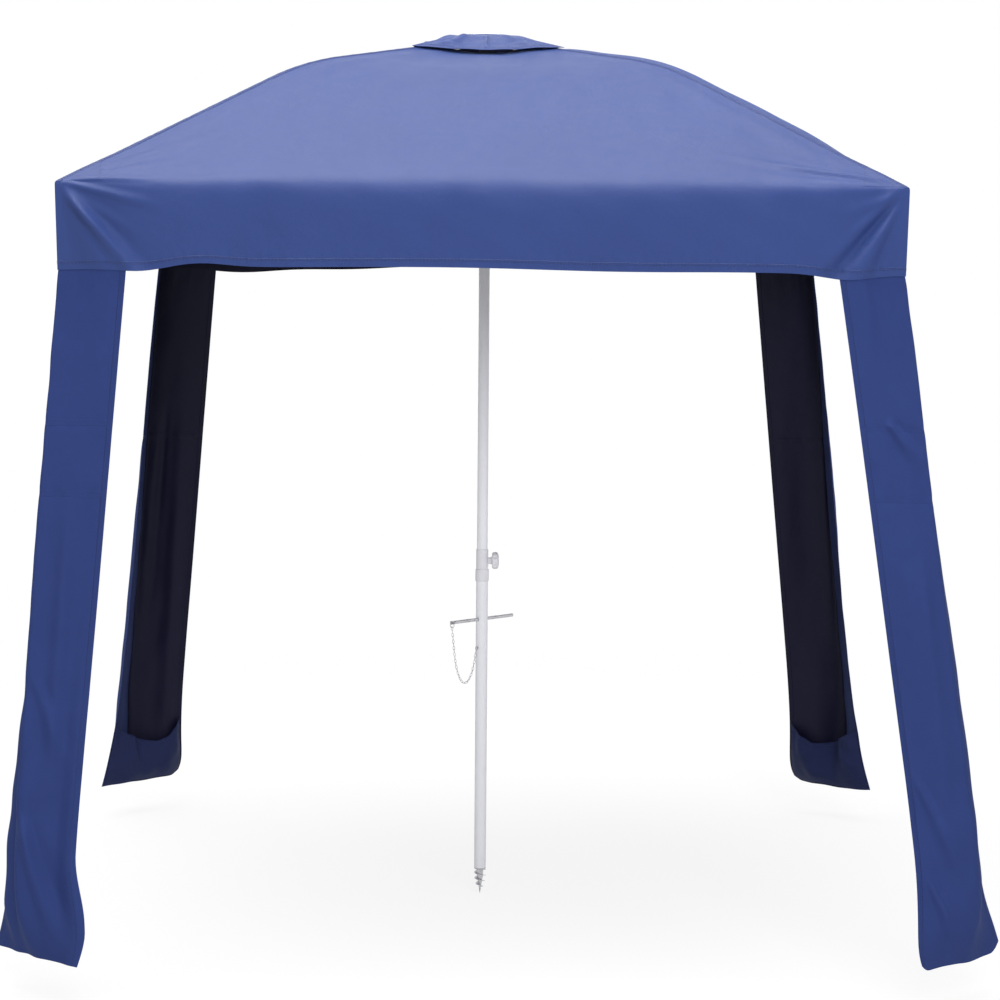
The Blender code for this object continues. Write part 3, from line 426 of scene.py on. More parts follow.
# A lighter copy of the dark inner face for a back leg's side half: painted light.
NAVY_PAINTED_LIGHT_SIDE = WovenCloth(
    "navy_cloth_side_light", Slot.CLOTH, (0.028, 0.040, 0.115), 0.55, sheen=0.0, specular=0.12
)
THREAD = MouldedPlastic("navy_thread", Slot.CLOTH, (0.016, 0.024, 0.080), 0.62, grain=2500.0)
WHITE_ENAMEL = Enamel("white_enamel", Slot.PAINT, (0.93, 0.935, 0.99), 0.34)
WHITE_MOULDED = MouldedPlastic("white_moulded", Slot.PLASTIC, (0.82, 0.82, 0.87), 0.42)
BRIGHT_STEEL = DrawnSteel("bright_steel_plated", Slot.STEEL, (0.50, 0.50, 0.53), 0.26, 0.9)
GREY_ROD = DrawnSteel("grey_rod_plated", Slot.ROD, (0.60, 0.60, 0.63), 0.34, 0.75)
BLACK_MOULDED = MouldedPlastic("black_moulded", Slot.BLACK, (0.030, 0.030, 0.035), 0.45)
FINISH_OF_SLOT = {
    Slot.PAINT.value: WHITE_ENAMEL,
    Slot.PLASTIC.value: WHITE_MOULDED,
    Slot.STEEL.value: BRIGHT_STEEL,
    Slot.ROD.value: GREY_ROD,
    Slot.BLACK.value: BLACK_MOULDED,
}


def placed(name: str, data) -> bpy.types.Object:
    """Put a mesh, lamp or camera in the scene as an object."""
    made = bpy.data.objects.new(name, data)
    bpy.context.scene.collection.objects.link(made)
    return made


def shown(name: str, mesh: bpy.types.Mesh, finish: Finish, body: str | None) -> bpy.types.Object:
    """Put a finished mesh in the scene and let it ride on a body.

    Args:
        name: The piece's name.
        mesh: Its mesh, in place.
        finish: Its finish.
        body: The body that it moves with, or None to leave it on no body.

    Returns:
        The piece.
    """
    piece = placed(name, mesh)
    mesh.materials.clear()
    mesh.materials.append(finish.material())
    if body:
        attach(piece, body)
    return piece


def soft_step(distance: np.ndarray, bend) -> np.ndarray:
    """Zero before a bend and the distance after it, with a smooth change."""
    return (distance + np.sqrt(distance**2 + bend**2)) / 2


def smooth_share(value, low: float, high: float) -> np.ndarray:
    """A share that rises smoothly from 0 at low to 1 at high."""
    share = np.clip((value - low) / (high - low), 0, 1)
    return share * share * (3 - 2 * share)


def unit(vectors: np.ndarray) -> np.ndarray:
    """Vectors of length one."""
    return vectors / np.maximum(np.linalg.norm(vectors, axis=-1, keepdims=True), 1e-12)


def grid_normals(places: np.ndarray) -> np.ndarray:
    """Outward directions of a grid whose rows run out or down and whose columns run anticlockwise."""
    down = np.gradient(places, axis=0)
    along = np.gradient(places, axis=1)
    return unit(np.cross(down, along))


def sampled(grid: np.ndarray, rows: np.ndarray, columns: np.ndarray) -> np.ndarray:
    """Points between the points of a grid.

    Args:
        grid: The grid, with a vector at each point.
        rows: Row numbers, with fractions.
        columns: Column numbers, with fractions.

    Returns:
        A vector for each pair of numbers.
    """
    row = np.clip(rows.astype(int), 0, grid.shape[0] - 2)
    column = np.clip(columns.astype(int), 0, grid.shape[1] - 2)
    down, over = (rows - row)[..., None], (columns - column)[..., None]
    upper = grid[row, column] * (1 - over) + grid[row, column + 1] * over
    lower = grid[row + 1, column] * (1 - over) + grid[row + 1, column + 1] * over
    return upper * (1 - down) + lower * down


@dataclass
class ClothPanel:
    """A piece of cloth on a grid: where its middle lies, which way it faces and where it is doubled."""

    name: str
    places: np.ndarray
    normals: np.ndarray
    offsets: np.ndarray
    weave: np.ndarray
    doubled: np.ndarray
    thickness: float

    @classmethod
    def of(
        cls, name: str, places: np.ndarray, weave: tuple, doubled: np.ndarray, thickness: float
    ) -> "ClothPanel":
        """Make a panel from its points; it faces the way that its grid runs.

        Args:
            name: The panel's name.
            places: Middle of the cloth at each point of the grid.
            weave: The two coordinates of its weave.
            doubled: Share of doubling at each point.
            thickness: The cloth's thickness.

        Returns:
            The panel.
        """
        facing = grid_normals(places)
        weave_map = np.stack(np.broadcast_arrays(*weave), -1)
        return cls(name, places, facing, facing.copy(), weave_map, doubled, thickness)

    def part(self, name: str, rows: slice, columns: slice) -> "ClothPanel":
        """Cut a smaller panel from this one.

        Args:
            name: The new panel's name.
            rows: Rows to keep.
            columns: Columns to keep.

        Returns:
            The cut panel.
        """
        grids = (self.places, self.normals, self.offsets, self.weave, self.doubled)
        return ClothPanel(name, *(grid[rows, columns] for grid in grids), self.thickness)

    def mesh(self) -> bpy.types.Mesh:
        """Build the panel as a closed shell, with a weave map and the doubled areas."""
        rows, columns = self.places.shape[:2]
        count = rows * columns
        index = np.arange(count).reshape(rows, columns)
        tiles = [index[:-1, :-1], index[1:, :-1], index[1:, 1:], index[:-1, 1:]]
        outer = np.stack(tiles, -1).reshape(-1, 4)
        inner = outer[:, ::-1] + count
        edge = np.concatenate([index[:-1, 0], index[-1, :-1], index[:0:-1, -1], index[0, :0:-1]])
        after = np.roll(edge, -1)
        rim = np.stack([after, edge, edge + count, after + count], -1)
        faces = np.concatenate([outer, inner, rim])
        middle, shift = self.places.reshape(-1, 3), self.offsets.reshape(-1, 3) * (self.thickness / 2)
        corners = np.concatenate([middle + shift, middle - shift])
        mesh = bpy.data.meshes.new(self.name)
        mesh.from_pydata(corners.tolist(), [], faces.tolist())
        mesh.validate()
        loops = faces.reshape(-1)
        facing = np.concatenate([self.normals, -self.normals]).reshape(-1, 3)[loops]
        rim_start = 4 * (len(outer) + len(inner))
        across = corners[rim[:, 0]] - corners[rim[:, 1]]
        through = corners[rim[:, 2]] - corners[rim[:, 1]]
        facing[rim_start:] = np.repeat(unit(np.cross(through, across)), 4, axis=0)
        layer = mesh.uv_layers.new(name="weave")
        both = np.tile(self.weave.reshape(-1, 2), (2, 1))
        layer.data.foreach_set("uv", both[loops].astype(np.float32).reshape(-1))
        mark = mesh.attributes.new("doubled", "FLOAT", "POINT")
        mark.data.foreach_set("value", np.tile(self.doubled.reshape(-1), 2).astype(np.float32))
        mesh.shade_smooth()
        mesh.normals_split_custom_set(facing.tolist())
        return mesh

    def show(self, body: str, outside: Finish, inside: Finish) -> bpy.types.Object:
        """Put the panel in the scene, with a finish for each face.

        Args:
            body: The body that it moves with.
            outside: Finish of the outer face and the edges.
            inside: Finish of the inner face.

        Returns:
            The piece.
        """
        mesh = self.mesh()
        piece = shown(self.name, mesh, outside, body)
        mesh.materials.append(inside.material())
        rows, columns = self.places.shape[:2]
        faces = (rows - 1) * (columns - 1)
        finish_index = np.zeros(len(mesh.polygons), dtype=np.int32)
        finish_index[faces:2 * faces] = 1
        mesh.polygons.foreach_set("material_index", finish_index)
        return piece

    def line(self, rows: np.ndarray, columns: np.ndarray) -> list:
        """Points of a line of thread on the panel's outer face.

        Args:
            rows: Row numbers, with fractions, or one for the whole line.
            columns: Column numbers, with fractions, or one for the whole line.

        Returns:
            The points.
        """
        rows, columns = np.broadcast_arrays(np.asarray(rows, float), np.asarray(columns, float))
        outer = sampled(self.normals, rows, columns) * (self.thickness / 2 + THREAD_LIFT)
        return (sampled(self.places, rows, columns) + outer).tolist()


@dataclass(frozen=True)
class Crease:
    """A crease in a cloth, from one point to another on its flattened side."""

    start: tuple
    end: tuple
    width: float
    height: float

    def lift(self, along: np.ndarray, down: np.ndarray) -> np.ndarray:
        """How far the crease lifts the cloth.

        Args:
            along: Distances along the side.
            down: Distances down it.

        Returns:
            The lift at each point.
        """
        run = np.subtract(self.end, self.start)
        length = float(np.hypot(*run))
        run = run / length
        x, y = along - self.start[0], down - self.start[1]
        travel = (x * run[0] + y * run[1]) / length
        aside = (x * run[1] - y * run[0]) / (self.width * (0.55 + 0.75 * np.clip(travel, 0, 1)))
        fade = smooth_share(travel, -0.05, 0.15) * (1 - smooth_share(travel, 0.45, 1.05))
        return self.height * np.cos(1.5 * aside) * np.exp(-(aside**2) / 1.6) * fade


@dataclass(frozen=True)
class Ripples:
    """Uneven waves over a cloth, the sum of a few waves of seeded size and direction."""

    seed: int
    wave: float
    count: int = 7

    def lift(self, x: np.ndarray, y: np.ndarray) -> np.ndarray:
        """Height of the waves, about from -1 to 1.

        Args:
            x: First coordinates.
            y: Second coordinates.

        Returns:
            The height at each point.
        """
        rng = np.random.default_rng(self.seed)
        total = np.zeros_like(x)
        for _ in range(self.count):
            turn, phase = rng.uniform(0, math.tau, 2)
            rate = math.tau / (self.wave * rng.uniform(0.7, 1.5))
            total += np.sin(rate * (x * math.cos(turn) + y * math.sin(turn)) + phase)
        return total / math.sqrt(self.count) * 0.7


@dataclass(frozen=True)
class ShadeForm:
    """Sizes and rules of the shade's form, in metres: ribs, roof, valance and legs."""

    crown_pin_reach: float = 0.024
    crown_pin_z: float = 2.079
    shoulder_reach: float = 0.600
    shoulder_z: float = 1.994
    rib_bend: float = 0.900
    tip_inset: float = 0.0214
    tip_z: float = 1.7005
    rib_radius: float = 0.0035
    cap_climb: float = 0.0026
    climb_from: float = 0.138
    climb_to: float = 0.048
    cloth: float = 0.0016
    cloth_gap: float = 0.0005
    half: float = 0.935
    edge_bow: float = 0.045
    gore_sag: float = 0.010
    vent_sag: float = 0.020
    bend_mid: float = 0.048
    bend_corner: float = 0.002
    hem_z: float = 1.508
    hem_rise: float = 0.0135
    lean: float = 0.0045
    valance_fold: float = 0.004
    vent_half: float = 0.120
    leg_strip: float = 0.283
    leg_splay: float = 0.1697
    foot_flare: float = 0.0340
    leg_fold: float = 0.007
    hem_waves: tuple = (
        ((0.80, 0.07, -0.012), (-0.75, 0.06, -0.006), (-0.62, 0.08, 0.010), (0.30, 0.25, -0.006)),
        ((-0.78, 0.08, -0.008), (0.45, 0.18, 0.006), (0.82, 0.06, -0.005)),
        ((-0.75, 0.08, -0.008), (-0.15, 0.30, -0.006), (0.70, 0.15, -0.020), (0.40, 0.20, -0.015)),
        ((-0.55, 0.14, 0.007), (0.30, 0.22, -0.006), (0.80, 0.06, -0.006)),
    )

    @property
    def tip_reach(self) -> float:
        """Distance of a rib's tip from the pole's axis."""
        return self.half * ROOT2 - self.tip_inset

    def slopes(self) -> tuple:
        """Falls of a rib inside and outside its shoulder."""
        inner = (self.crown_pin_z - self.shoulder_z) / (self.shoulder_reach - self.crown_pin_reach)
        outer = (self.shoulder_z - self.tip_z) / (self.tip_reach - self.shoulder_reach)
        return inner, outer

    def rib_height(self, reach: np.ndarray) -> np.ndarray:
        """Height of a rib's middle line at a distance from the pole's axis."""
        inner, outer = self.slopes()
        tangent = self.rib_bend * math.tan((math.atan(outer) - math.atan(inner)) / 2)
        start = self.shoulder_reach - tangent * math.cos(math.atan(inner))
        end = self.shoulder_reach + tangent * math.cos(math.atan(outer))
        middle = start - self.rib_bend * math.sin(math.atan(inner))
        low = self.crown_pin_z - inner * (start - self.crown_pin_reach)
        low -= self.rib_bend * math.cos(math.atan(inner))
        arc = low + np.sqrt(np.maximum(self.rib_bend**2 - (reach - middle) ** 2, 0))
        near = self.crown_pin_z - inner * (reach - self.crown_pin_reach)
        far = self.tip_z + outer * (self.tip_reach - reach)
        return np.where(reach <= start, near, np.where(reach >= end, far, arc))

    def cloth_rise(self, reach: np.ndarray) -> np.ndarray:
        """How far the cloth's middle lies above the rib's, on a ridge whose two sides slope down."""
        inner, outer = self.slopes()
        past = smooth_share(reach, self.shoulder_reach - 0.1, self.shoulder_reach + 0.1)
        slope = inner + (outer - inner) * past
        climb = self.climb_from - self.tip_reach + reach
        climb = np.clip(climb / (self.climb_from - self.climb_to), 0, 1)
        touch = self.rib_radius + self.cap_climb * climb + self.cloth / 2 + self.cloth_gap
        return touch * np.sqrt(1 + 2 * slope**2)

    def roof_height(self, out: np.ndarray, share: np.ndarray) -> np.ndarray:
        """Height of the canopy's cloth at a distance from the axis along its side's normal."""
        reach = out * ROOT2
        sag = self.vent_sag + (self.gore_sag - self.vent_sag) * out / self.half
        return self.rib_height(reach) + self.cloth_rise(reach) - sag * (1 - share**2)

    def edge_out(self, share: np.ndarray) -> np.ndarray:
        """Distance from the axis to the canopy's edge, which bows in between the corners."""
        return self.half - self.edge_bow * (1 - share**2)

    def hem_distance(self, share: np.ndarray) -> np.ndarray:
        """Distance down the valance at which its lower edge lies."""
        hem = self.hem_z + self.hem_rise * (1 - share**2)
        return self.roof_height(self.edge_out(share), share) - hem

    def skirt(self, share: np.ndarray, distance: np.ndarray) -> tuple:
        """Place on the roof before the edge or down the valance after it.

        Args:
            share: 1 at a corner and 0 halfway along a side.
            distance: Distance past the edge, negative on the roof.

        Returns:
            Distance from the axis along the side's normal, and height.
        """
        bend = self.bend_corner + (self.bend_mid - self.bend_corner) * (1 - share**2)
        inward, down = soft_step(-distance, bend), soft_step(distance, bend)
        out = self.edge_out(share) - inward
        one = np.ones(1)
        slope = self.lean / (self.roof_height(one * self.half, one)[0] - self.hem_z)
        return out - slope * down, self.roof_height(out, share) - down

    @property
    def hem_half(self) -> float:
        """Distance of the valance's lower edge from the axis at a corner."""
        one = np.ones(1)
        return float(self.skirt(one, self.hem_distance(one))[0][0])

    def hem_wave(self, side: int, lateral: np.ndarray) -> np.ndarray:
        """How far the lower edge waves up or down.

        Args:
            side: The side's number.
            lateral: Places along it.

        Returns:
            The rise at each place, which is none at the corners.
        """
        total = np.zeros_like(lateral)
        for place, width, height in self.hem_waves[side]:
            total = total + height * np.exp(-(((lateral - place) / width) ** 2))
        return total * smooth_share(self.half - np.abs(lateral), 0.004, 0.05)


FORM = ShadeForm()


def side_directions(side: int) -> tuple:
    """A side's outward direction and the direction along it, from its first corner to its second."""
    normal = [(0.0, -1.0), (1.0, 0.0), (0.0, 1.0), (-1.0, 0.0)][side]
    return np.array([*normal, 0.0]), np.array([-normal[1], normal[0], 0.0])


def on_side(side: int, out: np.ndarray, lateral: np.ndarray, height: np.ndarray) -> np.ndarray:
    """Points at distances along a side's normal and along the side, with their heights."""
    normal, along = side_directions(side)
    places = out[..., None] * normal + lateral[..., None] * along
    places[..., 2] = height
    return places


def rib_out(corner: Corner) -> np.ndarray:
    """Level direction of a corner's rib."""
    return np.array([math.cos(corner.yaw), math.sin(corner.yaw), 0.0])


def rib_tip(corner: Corner) -> np.ndarray:
    """Tip of a corner's rib."""
    return rib_out(corner) * FORM.tip_reach + np.array([0, 0, FORM.tip_z])


def mitre_corners(sides: list) -> None:
    """Let the thickness of neighbouring sides meet in one plane along the rib between them."""
    for panel, follower in zip(sides, sides[1:] + sides[:1]):
        first, second = panel.normals[:, -1], follower.normals[:, 0]
        mitre = (first + second) / (1 + np.sum(first * second, -1, keepdims=True))
        panel.offsets[:, -1] = follower.offsets[:, 0] = mitre


@dataclass
class SideHalf:
    """The half of a side that one corner carries: 0 at the side's first corner, 1 at its second."""

    panel: ClothPanel
    side: int
    half: int

    @property
    def corner(self) -> Corner:
        """The corner that carries it."""
        return CORNER_RING[(self.side + self.half) % 4]

    @property
    def title(self) -> str:
        """End of its pieces' names: the corner, and a or b for the half."""
        return f"{self.corner.title}_{'ab'[self.half]}"

    @property
    def rib(self) -> str:
        """Name of the rib that it lies on."""
        return f"rib_{self.corner.title}"

    @property
    def along(self) -> tuple:
        """Direction along the side."""
        return tuple(side_directions(self.side)[1])

    def cut(self, name: str, rows: slice) -> ClothPanel:
        """Cut rows of the half from its side."""
        middle = self.panel.places.shape[1] // 2
        columns = slice(middle, None) if self.half else slice(0, middle + 1)
        return self.panel.part(f"{name}_{self.title}", rows, columns)

    @classmethod
    def ring(cls, sides: list) -> list:
        """The eight halves of four sides, in their order round the pole."""
        return [cls(panel, side, half) for side, panel in enumerate(sides) for half in (0, 1)]


@dataclass
class FoldRule:
    """The axis, anchor and kept share of a cloth piece's flattening while the umbrella closes; nothing
    here flattens it.
    """

    axis: tuple
    anchor: tuple
    keep: float

    def apply(self, piece: bpy.types.Object) -> None:
        """Give the piece its own copy of its mesh; it is not flattened here."""
        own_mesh(piece)


class RepeatWork:
    """Shapes repeated along a path by a node tree: stitches and links."""

    @staticmethod
    def path_mesh(name: str, runs: list) -> bpy.types.Mesh:
        """Join lists of points into a mesh of open lines."""
        points, edges = [], []
        for run in runs:
            first = len(points)
            points.extend([tuple(p) for p in run])
            edges.extend([(i, i + 1) for i in range(first, len(points) - 1)])
        mesh = bpy.data.meshes.new(name)
        mesh.from_pydata(points, edges, [])
        return mesh

    @staticmethod
    def tree(kind: str) -> bpy.types.NodeTree:
        """Build the tree that sets a shape at even steps along lines.

        Args:
            kind: "stitch" for lying threads, "link" for oval links that turn a quarter each time.

        Returns:
            The tree, with its sizes as named inputs.
        """
        tree = bpy.data.node_groups.new(kind + "_rows", "GeometryNodeTree")
        face = tree.interface
        face.new_socket("Geometry", in_out="INPUT", socket_type="NodeSocketGeometry")
        for title in ("Pitch", "Length", "Width", "Wire"):
            face.new_socket(title, in_out="INPUT", socket_type="NodeSocketFloat")
        face.new_socket("Finish", in_out="INPUT", socket_type="NodeSocketMaterial")
        face.new_socket("Geometry", in_out="OUTPUT", socket_type="NodeSocketGeometry")
        bench = NodeBench(tree)
        given = bench.node("NodeGroupInput").outputs
        curve = bench.output("GeometryNodeMeshToCurve", {"Mesh": given["Geometry"]})
        pitch = {"Curve": curve, "Length": given["Pitch"]}
        steps = bench.output("GeometryNodeResampleCurve", pitch, mode="LENGTH")
        tangent = bench.output("GeometryNodeInputTangent")
        turned = bench.output("FunctionNodeAlignRotationToVector", {"Vector": tangent}, axis="X")
        if kind == "link":
            shape = RepeatWork.link_shape(bench, given)
            quarter = bench.maths("MULTIPLY", bench.output("GeometryNodeInputIndex"), math.pi / 2)
            roll = bench.output("ShaderNodeCombineXYZ", {"X": quarter})
            spin = bench.output("FunctionNodeEulerToRotation", {0: roll})
            both = {"Rotation": turned, "Rotate By": spin}
            turned = bench.output("FunctionNodeRotateRotation", both, rotation_space="LOCAL")
        else:
            shape = RepeatWork.stitch_shape(bench, given)
        row = {"Points": steps, "Instance": shape, "Rotation": turned}
        real = bench.output(
            "GeometryNodeRealizeInstances", {0: bench.output("GeometryNodeInstanceOnPoints", row)}
        )
        smooth = bench.output("GeometryNodeSetShadeSmooth", {0: real})
        dressed = {"Geometry": smooth, "Material": given["Finish"]}
        bench.node("NodeGroupOutput", {0: bench.output("GeometryNodeSetMaterial", dressed)})
        return tree

    @staticmethod
    def stitch_shape(bench: NodeBench, given) -> bpy.types.NodeSocket:
        """A short thread with round ends, lying along X."""
        ball = bench.output("GeometryNodeMeshUVSphere", {"Segments": 6, "Rings": 4, "Radius": 0.5})
        sizes = {"X": given["Length"], "Y": given["Width"], "Z": given["Width"]}
        scale = bench.output("ShaderNodeCombineXYZ", sizes)
        return bench.output("GeometryNodeTransform", {"Geometry": ball, "Scale": scale})

    @staticmethod
    def link_shape(bench: NodeBench, given) -> bpy.types.NodeSocket:
        """An oval link of round wire, lying along X in the XY plane."""
        round_ring = {"Resolution": 18, "Radius": 0.5}
        ring = bench.output("GeometryNodeCurvePrimitiveCircle", round_ring, mode="RADIUS")
        sizes = [bench.maths("SUBTRACT", given[name], given["Wire"]) for name in ("Length", "Width")]
        scale = bench.output("ShaderNodeCombineXYZ", {"X": sizes[0], "Y": sizes[1], "Z": 1.0})
        oval = bench.output("GeometryNodeTransform", {"Geometry": ring, "Scale": scale})
        thick = {"Resolution": 8, "Radius": bench.maths("MULTIPLY", given["Wire"], 0.5)}
        wire = bench.output("GeometryNodeCurvePrimitiveCircle", thick, mode="RADIUS")
        return bench.output("GeometryNodeCurveToMesh", {"Curve": oval, "Profile Curve": wire})

    @classmethod
    def rows(cls, name: str, kind: str, runs: list, finish: Finish, sizes: dict) -> bpy.types.Mesh:
        """Make repeated shapes along lines as a plain mesh.

        Args:
            name: The mesh's name.
            kind: Kind of shape, "stitch" or "link".
            runs: Lists of points to follow.
            finish: Finish of the shapes.
            sizes: Values of the tree's named inputs.

        Returns:
            The mesh.
        """
        tree = bpy.data.node_groups.get(kind + "_rows") or cls.tree(kind)
        helper = placed(name + "_path", cls.path_mesh(name + "_path", runs))
        modifier = helper.modifiers.new("rows", "NODES")
        modifier.node_group = tree
        inputs = [item for item in tree.interface.items_tree if item.in_out == "INPUT"]
        keys = {item.name: item.identifier for item in inputs}
        for title, value in sizes.items():
            modifier[keys[title]] = value
        modifier[keys["Finish"]] = finish.material()
        ready = helper.evaluated_get(bpy.context.evaluated_depsgraph_get())
        mesh = bpy.data.meshes.new_from_object(ready)
        mesh.name = name
        helper.modifiers.clear()
        bpy.data.objects.remove(helper, do_unlink=True)
        return mesh


@dataclass
class Studio:
    """The camera of the photograph, a plain pale floor and soft light."""

    camera_place: tuple = (0.0441, -7.129, 1.553)
    pitch: float = 0.0876
    roll: float = 0.0079
    lens: float = 101.36
    sensor: float = 36.0
    far: float = 200.0
    floor_z: float = -0.0925
    floor_half: float = 60.0
    floor_tone: float = 0.20
    bounce_tone: float = 0.70
    near_glow: float = 0.82
    fade_from: float = 1.7
    fade_to: float = 5.0
    ambient: float = 0.40

    def camera(self) -> None:
        """Set the camera where the photograph was taken from."""
        data = bpy.data.cameras.new("photo_camera")
        data.lens = self.lens
        data.sensor_width = self.sensor
        data.clip_end = self.far
        camera = placed("photo_camera", data)
        turn = Matrix.Rotation(math.pi / 2 - self.pitch, 4, "X") @ Matrix.Rotation(self.roll, 4, "Z")
        camera.matrix_world = Matrix.Translation(self.camera_place) @ turn
        bpy.context.scene.camera = camera

    def floor(self) -> None:
        """Lay the pale floor just under the pole's tip; it is clear when seen from below."""
        half = self.floor_half
        mesh = bpy.data.meshes.new("floor")
        corners = [(-half, -half), (half, -half), (half, half), (-half, half)]
        mesh.from_pydata([(x, y, self.floor_z) for x, y in corners], [], [(0, 1, 2, 3)])
        floor = placed("floor", mesh)
        made = bpy.data.materials.new("pale_floor")
        made.use_nodes = True
        bench = NodeBench(made.node_tree)
        shader = made.node_tree.nodes["Principled BSDF"]
        seen = bench.seen("Is Camera Ray", "Is Glossy Ray")
        reach = bench.node("ShaderNodeVectorMath", {0: bench.place()}, operation="LENGTH")
        near = bench.ramp(reach.outputs["Value"], self.fade_from, self.fade_to, 1.0, 0.0)
        tone = bench.maths("MULTIPLY", near, self.floor_tone)
        hidden = bench.maths("SUBTRACT", 1.0, seen)
        tone = bench.maths("MULTIPLY_ADD", hidden, bench.maths("SUBTRACT", self.bounce_tone, tone), tone)
        glow = bench.maths("MULTIPLY_ADD", near, self.near_glow - 1.0, 1.0)
        bench.fill(shader, {
            "Base Color": bench.output("ShaderNodeCombineXYZ", {0: tone, 1: tone, 2: tone}),
            "Roughness": 0.9,
            "Specular IOR Level": 0.0,
            "Emission Color": (1.0, 1.0, 1.0, 1.0),
            "Emission Strength": bench.maths("MULTIPLY", seen, glow),
        })
        below = bench.node("ShaderNodeNewGeometry").outputs["Backfacing"]
        clear = bench.output("ShaderNodeBsdfTransparent")
        both = bench.output("ShaderNodeMixShader", {0: below, 1: shader.outputs[0], 2: clear})
        bench.fill(made.node_tree.nodes["Material Output"], {"Surface": both})
        mesh.materials.append(made)

    def world(self) -> None:
        """A white surrounding to look at, and a soft even light from all round."""
        world = bpy.data.worlds.new("studio")
        bpy.context.scene.world = world
        world.use_nodes = True
        bench = NodeBench(world.node_tree)
        seen = bench.seen("Is Camera Ray", "Is Glossy Ray", "Is Transmission Ray")
        strength = bench.maths("MULTIPLY_ADD", seen, 1.0 - self.ambient, self.ambient)
        back = world.node_tree.nodes["Background"]
        bench.fill(back, {"Color": (1.0, 1.0, 1.0, 1.0), "Strength": strength})

    @staticmethod
    def lamp(
        name: str, place: tuple, target: tuple, size: float, power: float, glossy: bool = True
    ) -> None:
        """Hang a square soft lamp.

        Args:
            name: The lamp's name.
            place: Where it hangs.
            target: Where it points.
            size: Length of its side.
            power: Its power in watts.
            glossy: Whether it shows in glossy surfaces.
        """
        data = bpy.data.lights.new(name, "AREA")
        data.shape = "SQUARE"
        data.size = size
        data.energy = power
        lamp = placed(name, data)
        lamp.location = place
        aim = Vector(target) - Vector(place)
        lamp.rotation_euler = aim.to_track_quat("-Z", "Y").to_euler()
        lamp.visible_camera = False
        lamp.visible_glossy = glossy

    def build(self) -> None:
        """Set the whole stage."""
        self.camera()
        self.floor()
        self.world()
        target = (0, 0, 1.0)
        self.lamp("top_lamp", (-0.6, -0.8, 6.5), target, size=5.0, power=425.0)
        self.lamp("front_lamp", (1.5, -7.5, 4.0), target, size=3.6, power=285.0, glossy=False)


@dataclass
class Chain:
    """The thin steel chain from the ring of the T-bar to the eye on the pole."""

    pitch: float = 0.0084
    link_length: float = 0.0112
    link_width: float = 0.0062
    wire: float = 0.0013
    route: tuple = (
        (-0.0743, -0.0793, 0.6074), (-0.0725, -0.0790, 0.5905), (-0.0702, -0.0768, 0.5660),
        (-0.0675, -0.0738, 0.5380), (-0.0640, -0.0705, 0.5130), (-0.0590, -0.0660, 0.4915),
        (-0.0525, -0.0600, 0.4745), (-0.0450, -0.0530, 0.4655), (-0.0370, -0.0455, 0.4660),
        (-0.0300, -0.0385, 0.4745), (-0.0240, -0.0325, 0.4890), (-0.0195, -0.0280, 0.5070),
        (-0.0165, -0.0245, 0.5260), (-0.0148, -0.0225, 0.5395),
    )

    def build(self) -> None:
        """Make the links along the hanging line, as one piece that rides on no body, between pole and
        T-bar.
        """
        points = self.smooth_route()
        mesh = RepeatWork.rows("chain_links", "link", [points], BRIGHT_STEEL, {
            "Pitch": self.pitch,
            "Length": self.link_length,
            "Width": self.link_width,
            "Wire": self.wire,
        })
        piece = shown("chain_links", mesh, BRIGHT_STEEL, None)
        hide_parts("chain")
        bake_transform(piece)

    def smooth_route(self) -> list:
        """The route's points with three more between each two, on one smooth curve."""
        given = [Vector(p) for p in self.route][::-1]
        ends = [given[0] * 2 - given[1], *given, given[-1] * 2 - given[-2]]
        points = []
        for before, here, there, past in zip(ends, ends[1:], ends[2:], ends[3:]):
            for step in range(4):
                t = step / 4
                line = here * 2 + (there - before) * t
                line += (before * 2 - here * 5 + there * 4 - past) * t**2
                line += (here * 3 - before - there * 3 + past) * t**3
                points.append(tuple(line * 0.5))
        return [*points, tuple(given[-1])]


@dataclass(frozen=True)
class Stitching:
    """Rows of lockstitches that lie on a cloth and move with it."""

    pitch: float = 0.0078
    length: float = 0.0056
    width: float = 0.0011

    @classmethod
    def sew(cls, name: str, runs: list, body: str, fold: FoldRule) -> None:
        """Sew rows of stitches.

        Args:
            name: The piece's name.
            runs: Lists of points, one for each row.
            body: The body that the cloth moves with.
            fold: How the cloth flattens when the umbrella closes.
        """
        plan = cls()
        sizes = {"Pitch": plan.pitch, "Length": plan.length, "Width": plan.width}
        mesh = RepeatWork.rows(name, "stitch", runs, THREAD, sizes)
        fold.apply(shown(name, mesh, THREAD, body))


@dataclass(frozen=True)
class PullFan:
    """A fan of creases that runs out from a corner, with the ranges that each is drawn from.

    The start is a distance in from the corner and one past the edge, and the lengths are measured
    from a point that is inset from the corner. Turns are in degrees from the edge, down the valance
    where way is 1 and up the roof where it is -1.
    """

    turns: tuple
    spread: float
    way: int
    start: tuple
    inset: float
    lengths: tuple
    widths: tuple
    heights: tuple

    def draw(self, rng: np.random.Generator, end: int) -> list:
        """Draw the fan's creases.

        Args:
            rng: Source of the random draws.
            end: -1 at the side's first corner, 1 at its second.

        Returns:
            The creases.
        """
        found = []
        for turn in self.turns:
            angle = math.radians(turn + rng.uniform(-self.spread, self.spread))
            length = rng.uniform(*self.lengths)
            stop = (
                end * (FORM.half - self.inset - length * math.cos(angle)),
                self.way * length * math.sin(angle),
            )
            start = (end * (FORM.half - self.start[0]), self.start[1])
            found.append(Crease(start, stop, rng.uniform(*self.widths), rng.uniform(*self.heights)))
        return found


